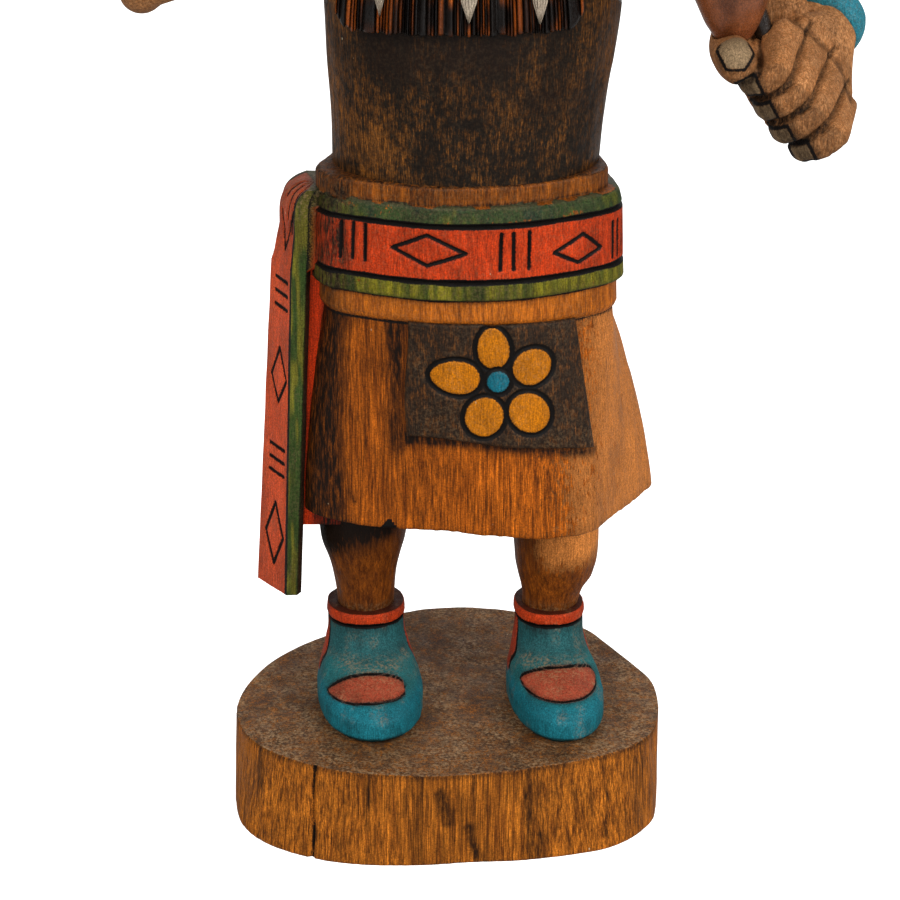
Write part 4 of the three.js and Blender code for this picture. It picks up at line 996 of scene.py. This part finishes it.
def make_beard():
    columns, rows = 420, 60
    u, v = np.meshgrid(np.linspace(0, 1, columns), np.linspace(0, 1, rows))
    locks = 62
    spread = u * locks + 0.9 * np.sin(u * 23) + 0.6 * np.sin(u * 61 + 1)
    lock = np.floor(spread)
    part = spread - lock
    ridge = np.sin(np.pi * part) ** 0.7
    depth = 0.8 + 0.5 * hashed(lock, 81)
    out = BEARD["proud"] - depth * (1 - ridge) - 0.35 * hashed(lock, 82) - 0.6 * np.clip(1 - v / 0.02, 0, 1)
    outer = beard_point(u, v, out)
    outer[..., 2] += (1 - v) * 0.7 * hashed(lock, 83)
    inner = beard_point(u, v, -6.0)
    beard = slab(outer, inner)
    count = columns * rows
    beard.coat_all("#120C09")
    worn = lumps(np.column_stack([lock.ravel() * 3, np.zeros(count), outer[..., 2].ravel()]), (1, 1, 6), 85)
    streak = step(0.3, 0.85, hashed(lock, 84)) * step(0.35, 0.8, ridge)
    streak = streak.ravel() * step(-0.5, 0.3, worn)
    bright = streak * step(0.9, 1, hashed(lock, 86)).ravel()
    back = np.zeros(count)
    beard.coat(np.concatenate([streak * 0.85, back]), "#8A440E")
    beard.coat(np.concatenate([bright, back]), "#A85818")
    whole = join(beard, *[make_feather(*row) for row in FEATHERS])
    material = carved_wood("beard_paint", "#5A3014", "#301A0C", rough=0.34, bump=0.25, gloss=0.3)
    build("beard", whole, material, sharp=70)


# Head and hair

# Height, half width, half depth
HEAD = [
    [210, 20, 19.6], [214, 24.4, 24], [224, 26, 25.4], [238, 26.6, 26], [250, 25.6, 25], [260, 21, 21],
    [266, 12, 12],
]
HEAD_X = 4.6
EYE = dict(aside=10, half=4.2, height=236.4)
BANGS = 247
# Height, x, half width, half depth, and how far the middle stands back
HAIR = [
    [168, 0.5, 23, 8, 26.5], [172, 0.5, 24.5, 9, 26.5], [190, 1, 26, 10.5, 24.5], [206, 2, 27, 14, 18],
    [216, 3, 27.8, 21, 8], [232, 4, 29, 26.6, 2.6], [246, 4.6, 28.8, 27.4, 0], [256, 4.6, 26, 25.4, 0],
    [265, 4.6, 19.6, 19.6, 0], [271, 4.6, 11, 11, 0], [274, 4.6, 3, 3, 0],
]


def make_head():
    angle = angles(-math.pi, 0, 150, 40)
    levels = np.linspace(210, 266, 90)
    neck = tube(np.array([ring_at(h, *oval(5, 0, 14, 13.4, angle)) for h in np.linspace(214.5, 228, 6)]))
    mask = tube(np.array([ring_at(h, *oval(HEAD_X, -1, a, b, angle))
                          for h, (a, b) in zip(levels, smooth_rows(HEAD, levels))]))
    p = mask.points
    x, y, z = p.T
    aside = np.abs(np.abs(x - HEAD_X) - EYE["aside"])
    eye = np.hypot(np.maximum(aside - EYE["half"], 0), z - EYE["height"]) + 20 * (y > 0)
    mask.coat_all(TURQUOISE)
    mask.coat(step(219, 218.6, z), RED)
    mask.coat(step(217.4, 217, z), OCHRE)
    mask.knife(np.minimum(np.abs(z - 218.8), np.abs(z - 217.2)) + 0.1, 0.8, 0.3, 0.3)
    mask.knife(np.maximum(eye - 0.8, 0), 1.0, 1.4, 0.25)
    mask.dust = 0.12 + 0.1 * lumps(p, 7, 91)
    mask.sink(0.1 * (1 + lumps(p, (1.4, 1.4, 8), 92)))
    neck.coat_all("#2A1F18", 0.8)
    return join(mask, neck)


def make_hair():
    angle = np.linspace(0, TAU, 320, endpoint=False)
    levels = np.linspace(168, 274, 120)
    rings = []
    for h, (x, a, b, back) in zip(levels, smooth_rows(HAIR, levels)):
        lock = np.abs(np.sin(angle * 32)) ** 0.8
        groove = -(1 - lock) * 1.1 * step(273, 266, np.array(h))
        rings.append(ring_at(h, *oval(x, back, a, b, angle, 0, 2.3, groove)))
    hair = np.array(rings)
    # The mask is left open below the bangs
    open_face = (np.abs(hair[..., 0] - HEAD_X) < 23) & (hair[..., 1] < -9) & (hair[..., 2] < BANGS)
    hair[..., 1] = np.where(open_face, -9, hair[..., 1])
    locks = tube(hair)
    locks.coat_all("#16100C")
    return locks


# Arms
def turn_y(degrees):
    """Turn about Y, as a matrix whose columns are the turned axes."""
    c, s = math.cos(math.radians(degrees)), math.sin(math.radians(degrees))
    return np.array([[c, 0, s], [0, 1, 0], [-s, 0, c]])


HAND_AT = np.array([71.2, -24, 179.2])
LEFT_HAND = turn_y(-28.7)
STICK_AT = np.array([71.6, -24, 179.2])
STICK_TURN = turn_y(-21.5)
GOURD_AT = np.array([64.8, -24.6, 177.4])
GOURD_TURN = turn_y(-4)
RIGHT_AT = np.array([-66.4, -9.6, 227.8])
RIGHT_HAND = np.array([[0, 0.6, -0.8], [0, -0.8, -0.6], [1, 0, 0]]).T


def limb(stations, across, sides=26, steps=7, power=2.0, soft_start=False, soft_end=False):
    """Rounded limb along stations of x, y, z, half width across and half depth."""
    rows = np.asarray(stations, float)

    def soft(end, before):
        away = (end[:3] - before[:3]) / np.linalg.norm(end[:3] - before[:3])
        reach = min(end[3], end[4])
        return [np.concatenate([end[:3] + away * reach * far, end[3:] * wide])
                for far, wide in ((0.3, 0.95), (0.62, 0.78), (0.85, 0.5), (0.94, 0.25))]

    if soft_start:
        rows = np.vstack([soft(rows[0], rows[1])[::-1], rows])
    if soft_end:
        rows = np.vstack([rows, soft(rows[-1], rows[-2])])
    last = len(rows) - 1
    numbered = np.column_stack([np.arange(last + 1), rows])
    path = smooth_rows(numbered, np.linspace(0, last, last * steps + 1))
    along = np.gradient(path[:, :3], axis=0)
    along /= np.linalg.norm(along, axis=1)[:, None]
    across = np.asarray(across, float)
    side = across - along * (along @ across)[:, None]
    side /= np.linalg.norm(side, axis=1)[:, None]
    up = np.cross(along, side)
    angle = np.linspace(0, TAU, sides, endpoint=False)
    c, s = (np.sign(f) * np.abs(f) ** (2 / power) for f in (np.cos(angle), np.sin(angle)))
    rings = (path[:, None, :3] + side[:, None] * (path[:, 3, None] * c)[..., None]
             + up[:, None] * (path[:, 4, None] * s)[..., None])
    return tube(rings)


# Knuckle, middle of the first segment, middle bend, last bend and tip of each finger
FINGERS = [
    [[4.6, 1, -2.8], [1.7, -4.6, -4.9], [-2.6, -10.6, -8], [-6.4, -9, -7.6], [-7.2, -5.4, -7.6]],
    [[7.6, 1, -9.6], [4.2, -4.6, -11.4], [-0.8, -10.6, -14.2], [-5.4, -9, -14.6], [-6.6, -5.4, -14.6]],
    [[8.9, 1, -16.8], [5.5, -4.6, -18.3], [0.4, -10.6, -20.6], [-4.4, -9, -21.2], [-5.8, -5.4, -21.2]],
    [[8.2, 1, -24.2], [5.7, -4.6, -25.4], [2, -10.6, -27.2], [-2.4, -9, -27.2], [-3.8, -5.4, -27.2]],
]
FINGER_HALVES = [[3.6, 4], [3.7, 4], [3.5, 3.8], [3.2, 3.4], [3, 3.2]]
THUMB = [[11, 9, -3], [2, 9.4, 0.6], [-6.6, 4.6, -0.4], [-8.5, -3.4, -1.4], [-8, -9.6, -1.5]]
THUMB_HALVES = [[5.4, 5.4], [5.6, 5.2], [5.6, 5], [5.5, 4.7], [5.2, 4.3]]


def fist():
    """Fist in its own frame: Z to the forefinger's side, X to the knuckles, -Y to the finger bends."""
    z = (0, 0, 1)
    parts = [
        limb([[13.4, 9.6, -10.4, 7, 5.6], [9.6, 4.6, -12.2, 11, 4.6], [4.6, 1, -14, 14.4, 7],
              [-1, -1, -15.4, 14.6, 7.6], [-4.6, -1, -16, 12.6, 5.2]],
             z, power=2.4, soft_start=True, soft_end=True),
        limb(np.column_stack([THUMB, THUMB_HALVES]), z, power=2.6, soft_end=True),
    ]
    for finger in FINGERS:
        parts.append(limb(np.column_stack([finger, FINGER_HALVES]), z, power=2.8, soft_end=True))
    return parts


STICK = dict(top=10.0, long=42.0, radius=2.2)
RATTLE_GAP = 0.3


def lathe(r, z, sides):
    """Closed skin turned round Z through radii and heights."""
    angle = np.linspace(0, TAU, sides, endpoint=False)
    return tube(np.stack([r[:, None] * np.cos(angle), r[:, None] * np.sin(angle),
                          np.repeat(z[:, None], sides, axis=1)], axis=-1))


def stick(out=0.0, sides=28):
    low, high, radius = STICK["top"] - STICK["long"], STICK["top"], STICK["radius"] + out
    z = np.concatenate([[low - out], np.linspace(low + 0.3, high - 0.3, 30), [high + out]])
    r = np.concatenate([[radius - 0.25], np.full(30, radius), [radius - 0.25]])
    return lathe(r, z, sides)


# Shares of its radius and length
GOURD = [
    [0, 0], [0.27, 0], [0.42, 0.06], [0.6, 0.2], [0.8, 0.4], [0.96, 0.62], [1, 0.76], [0.84, 0.92],
    [0.48, 0.985], [0, 1],
]
GOURD_SIZE = (13.2, 38.0)


def gourd(out=0.0, sides=96, rows=80):
    table = np.array(GOURD)
    run = np.concatenate([[0], np.cumsum(np.hypot(*np.diff(table * GOURD_SIZE, axis=0).T))])
    fine = smooth_rows(np.column_stack([run, table]), np.linspace(0.05, run[-1] - 0.05, rows))
    r = np.maximum(fine[:, 0], 0.004) * GOURD_SIZE[0] + out
    z = fine[:, 1] * GOURD_SIZE[1]
    z = z + out * np.where(fine[:, 1] > 0.8, 1, 0) - out * (fine[:, 1] < 0.05)
    return lathe(r, z, sides)


def placed(surface, basis, at):
    surface.points = surface.points @ basis.T + at
    return surface


def raw_object(surface):
    mesh = bpy.data.meshes.new("raw")
    mesh.from_pydata(surface.points.tolist(), [], surface.faces)
    return put_in_scene("raw", mesh)


def settled(made):
    """The object's points and faces with its modifiers applied; the object goes."""
    seen = made.evaluated_get(bpy.context.evaluated_depsgraph_get()).to_mesh()
    points = np.empty(len(seen.vertices) * 3)
    seen.vertices.foreach_get("co", points)
    faces = [tuple(f.vertices) for f in seen.polygons]
    made.to_mesh_clear()
    bpy.data.objects.remove(made)
    return Surface(points.reshape(-1, 3), faces)


def melted(parts, voxel, rounds=3):
    """One even skin over several overlapping parts."""
    made = raw_object(join(*parts))
    remesh = made.modifiers.new("skin", "REMESH")
    remesh.mode = "VOXEL"
    remesh.voxel_size = voxel
    smooth = made.modifiers.new("soft", "SMOOTH")
    smooth.factor = 0.5
    smooth.iterations = rounds
    return settled(made)


def cut_away(surface, *tools):
    made = raw_object(surface)
    others = [raw_object(t) for t in tools]
    for other in others:
        cut = made.modifiers.new("cut", "BOOLEAN")
        cut.operation = "DIFFERENCE"
        cut.solver = "MANIFOLD"
        cut.object = other
    result = settled(made)
    for other in others:
        bpy.data.objects.remove(other)
    return result


def box_tool(low, high):
    low, high = np.asarray(low, float), np.asarray(high, float)
    ring = [(low[0], low[1]), (high[0], low[1]), (high[0], high[1]), (low[0], high[1])]
    return tube(np.array([[(x, y, z) for x, y in ring] for z in (low[2], high[2])]))


# In the fist's frame: the knuckles' line and the nails' middles, as x, z
KNUCKLE_LINE = [(6.7, 0.3), (9.5, -5.4), (11.5, -11.7), (12.3, -17.5), (11, -24)]
NAILS = ((-8.3, -7.5), (-7.9, -14.9), (-6.9, -21.8), (-4.5, -27.3))
THUMB_NAIL = (-7.4, 1.1)


def furrow(gap, half):
    """1 in the middle of a furrow, falling evenly to 0 at its half width."""
    return np.clip(1 - gap / half, 0, 1)


def carve_fist(arm, basis, at):
    """Grooves between the fingers and thumb, creases at their bends, and nails, in the fist's own frame."""
    local = (arm.points - at) @ basis
    x, y, z = local.T
    near = [path_near(finger, local) for finger in FINGERS]
    near.append(path_near(THUMB[1:], local))
    far = np.array([d for d, _ in near])
    far[4] -= 1.4
    order = np.sort(far, axis=0)
    owner = np.argmin(far, axis=0)
    along = np.choose(owner, [w for _, w in near])
    finger = (order[0] < 6.5) & (y < 5)
    gap = np.where(finger & (y < 3), (order[1] - order[0]) / 1.5, FAR)
    crease = np.where(finger & (owner < 4), np.minimum(np.abs(along - 2) * 5, np.abs(along - 3) * 3.6), FAR)
    ridge = line_distance([KNUCKLE_LINE], local[:, [0, 2]])
    ridge = np.where((y < 3) & (np.abs(x) < 16), ridge, FAR)
    arm.sink(0.9 * furrow(gap, 0.9) + 0.3 * furrow(crease, 0.7) + 0.6 * furrow(ridge, 0.9))
    aside, away = np.abs(x - THUMB_NAIL[0]), np.abs(z - THUMB_NAIL[1])
    nail = np.maximum(aside, away * 0.9 + aside * 0.45) - 3.3 + FAR * (y > -8)
    for nx, nz in NAILS:
        size = np.maximum(np.abs(x - nx) * 0.9, np.abs(z - nz) * 0.8)
        nail = np.minimum(nail, size - 1.7 + FAR * (y > -3))
    arm.coat(step(9, 5, order[0]), "#96643A", 0.4)
    arm.coat(step(0.1, -0.1, nail), "#8A7458")
    arm.ink = np.minimum(arm.ink, np.abs(nail - 0.3) - 0.34)
    bend = step(1.9, 2.3, along) * finger * (owner < 4)
    round_nail = step(2.6, 0.6, np.abs(nail)) * (nail > 0)
    # Stain and painted shade in the grooves between the fingers, along the knuckles, in the creases and round
    # the nails; darker past each middle bend
    stain_and_shade = 0.1 + 0.12 * lumps(arm.points, 5, 103) + 0.25 * bend + 0.5 * round_nail
    stain_and_shade += 0.7 * step(0.7, 0.15, gap) + 0.5 * step(0.8, 0.1, ridge) + 0.35 * step(0.7, 0.1, crease)
    arm.stain_and_shade = np.clip(stain_and_shade, 0, 0.92)
    arm.dust = 0.12 + 0.08 * lumps(arm.points, 6, 104)


def take_paint(surface, painted):
    """Gives each point the paint of the nearest point of the surface that it was cut from."""
    tree = KDTree(len(painted.points))
    for k, point in enumerate(painted.points):
        tree.insert(point, k)
    tree.balance()
    nearest = np.array([tree.find(point)[1] for point in surface.points])
    for name in PAINTED:
        setattr(surface, name, getattr(painted, name)[nearest])


def carved_arm(limbs, basis, at, voxel, *tools):
    """Limbs and a fist melted into one arm, with the fist carved and the tools cut away."""
    whole = melted(limbs + [placed(part, basis, at) for part in fist()], voxel)
    carve_fist(whole, basis, at)
    arm = cut_away(whole, *tools)
    take_paint(arm, whole)
    return arm


def make_left_arm(material):
    sx, sz = SEATS[1], SHOULDER
    upper = limb([[sx - 3, 0, sz, 9, 9.4], [sx + 5, 0.4, sz + 0.4, 9.4, 9.8],
                  [sx + 16, 3, sz - 1.4, 8.7, 8.9], [sx + 34, 8, sz - 5, 7.6, 7.8],
                  [sx + 50, 12, sz - 8, 7, 7.2]], (0, 1, 0), soft_end=True)
    lower = limb([[89.6, 12.4, 189.2, 7, 7.2], [89, 3, 185.4, 6.8, 6.8], [87.4, -7.4, 180, 6.4, 6],
                  [84.8, -14, 176.4, 7.4, 6]], (0.6, 0, -0.8), soft_start=True)
    arm = carved_arm([upper, lower], LEFT_HAND, HAND_AT, 0.46,
                     placed(stick(RATTLE_GAP), STICK_TURN, STICK_AT),
                     placed(gourd(RATTLE_GAP, 48, 40), GOURD_TURN, GOURD_AT),
                     box_tool((-60, -80, 100), (sx, 80, 300)))
    bracelet = limb([[89.9, -6.6, 180, 6.2, 5.8], [89.7, -7, 179.8, 8.2, 7.7],
                     [89.5, -7.4, 179.6, 8.7, 8.2], [88.3, -9.6, 178.4, 9.3, 8.7],
                     [87.1, -11.8, 177.2, 8.9, 8.2], [86.9, -12.2, 177, 8.3, 7.6],
                     [86.7, -12.6, 176.8, 6.2, 5.8]], (0.52, 0, -0.86), sides=96, steps=8)
    bracelet.coat_all("#2C7886")
    bracelet.dust = 0.15 + 0.1 * lumps(bracelet.points, 4, 101)
    bracelet.sink(0.08 * (1 + lumps(bracelet.points, 1.6, 102)))
    build("left_arm_carving", join(arm, bracelet), material, "left_arm", sharp=60)


def make_right_arm(material):
    sx, sz = SEATS[0], SHOULDER
    upper = limb([[sx + 3, 0, sz, 9, 9.4], [sx - 5, 0, sz, 9.4, 9.8], [sx - 16, 0, sz - 2.8, 8.7, 8.9],
                  [sx - 32, 0, sz - 7.4, 7.6, 7.6], [sx - 42.6, 0, sz - 12.2, 6.4, 6]],
                 (0, 1, 0), soft_end=True)
    lower = limb([[-73, 0.6, 183.4, 5.6, 5.8], [-74.6, -3, 193, 6.8, 6.6], [-77.4, -6.6, 204, 6.4, 5.8],
                  [-78.4, -8, 209, 7, 5.8]], (1, 0, 0), soft_start=True, soft_end=True)
    arm = carved_arm([upper, lower], RIGHT_HAND, RIGHT_AT, 0.6, box_tool((sx, -80, 100), (60, 80, 300)))
    build("right_arm_carving", arm, material, "right_arm", sharp=60)


def make_rattle():
    handle = placed(stick(), STICK_TURN, STICK_AT)
    handle.coat_all("#2A221C", 0.9)
    handle.stain_and_shade = 0.25 + 0.2 * lumps(handle.points, (2, 2, 4), 111)
    shell = placed(gourd(), GOURD_TURN, GOURD_AT)
    shell.coat_all("#8C5230")
    shell.coat(step(-0.1, 0.8, lumps(shell.points, (4, 4, 7), 114)), "#6C3A1C")
    shell.stain_and_shade = np.clip(0.15 + 0.25 * lumps(shell.points, 6, 112), 0, 0.5)
    shell.sink(0.08 * (1 + lumps(shell.points, 1.6, 113)))
    material = carved_wood("rattle_paint", "#9A5A30", "#6A3A1C", rough=0.28, bump=0.2, gloss=0.5)
    build("rattle_carving", join(handle, shell), material, "rattle")


make_base()
make_kilt()
make_belt()
make_apron()
make_pendant()
make_torso()
make_beard()
build("head", join(make_head(), make_hair()), carved_wood("head_paint", "#8E5A28", "#5A3416"), sharp=60)
build("moccasins", join(make_foot("left"), make_foot("right")),
      carved_wood("moccasin_paint", "#8A5A2C", "#5A3818", along=6, rough=0.6), sharp=60)
build("legs", join(make_leg("left"), make_leg("right")),
      carved_wood("leg_wood", "#8E4E12", "#562A08", along=12))
arm_wood = carved_wood("arm_wood", "#BA8658", "#8C5C34", along=0.9, across=0.7, contrast=1.2, rough=0.6,
                       bump=0.6)
make_left_arm(arm_wood)
make_right_arm(arm_wood)
make_rattle()

# Floor, lights and camera
floor_mesh = bpy.data.meshes.new("floor")
FLOOR_HALF = 3.0
corners = [(i * FLOOR_HALF, j * FLOOR_HALF, 0) for i, j in ((-1, -1), (1, -1), (1, 1), (-1, 1))]
floor_mesh.from_pydata(corners, [], [(0, 1, 2, 3)])
floor = put_in_scene("floor", floor_mesh)
floor_shader = bpy.data.materials.new("floor_white")
floor_shader.use_nodes = True
paper = floor_shader.node_tree.nodes["Principled BSDF"]
paper.inputs["Base Color"].default_value = (0.55, 0.55, 0.55, 1)
paper.inputs["Roughness"].default_value = 0.9
paper.inputs["Specular IOR Level"].default_value = 0.0
paper.inputs["Emission Color"].default_value = (1, 1, 1, 1)
# The sheet glows for the camera only, so it is white and lights nothing
seen = floor_shader.node_tree.nodes.new("ShaderNodeLightPath")
floor_shader.node_tree.links.new(seen.outputs["Is Camera Ray"], paper.inputs["Emission Strength"])
floor_mesh.materials.append(floor_shader)

world = bpy.data.worlds.new("studio")
bpy.context.scene.world = world
world.use_nodes = True
sky = world.node_tree.nodes["Background"]
sky.inputs["Color"].default_value = (1, 1, 1, 1)
# White for the camera, softer as a light
world_ray = world.node_tree.nodes.new("ShaderNodeLightPath").outputs["Is Camera Ray"]
world_power = world.node_tree.nodes.new("ShaderNodeMath")
world_power.operation = "MULTIPLY_ADD"
world_power.inputs[1].default_value = 0.6
world_power.inputs[2].default_value = 0.4
world.node_tree.links.new(world_ray, world_power.inputs[0])
world.node_tree.links.new(world_power.outputs[0], sky.inputs["Strength"])

# Point in metres that the lamps face
LOOK_AT = Vector((0.0, 0.0, 0.14))


def softbox(name, at, size, power):
    data = bpy.data.lights.new(name, "AREA")
    data.shape = "RECTANGLE"
    data.size, data.size_y = size
    data.energy = power
    lamp = put_in_scene(name, data)
    lamp.location = at
    lamp.rotation_euler = (LOOK_AT - Vector(at)).to_track_quat("-Z", "Y").to_euler()


softbox("key", (-0.7, -0.9, 0.9), (0.6, 0.6), 9)
softbox("fill", (0.85, -0.75, 0.75), (0.6, 0.6), 12)
softbox("front", (0.05, -1.3, 0.35), (0.8, 0.5), 2.5)
softbox("rear", (0.2, 1.1, 0.8), (0.8, 0.8), 3.5)

camera_data = bpy.data.cameras.new("camera")
camera_data.sensor_width = 36
camera_data.lens = 103.04
camera = put_in_scene("camera", camera_data)
camera.location = (0, -0.606, 0.333)
camera.rotation_euler = (math.radians(90 - 21.7), 0, 0)
bpy.context.scene.camera = camera
bpy.context.scene.view_settings.view_transform = "Standard"
bpy.context.scene.view_settings.gamma = 0.9
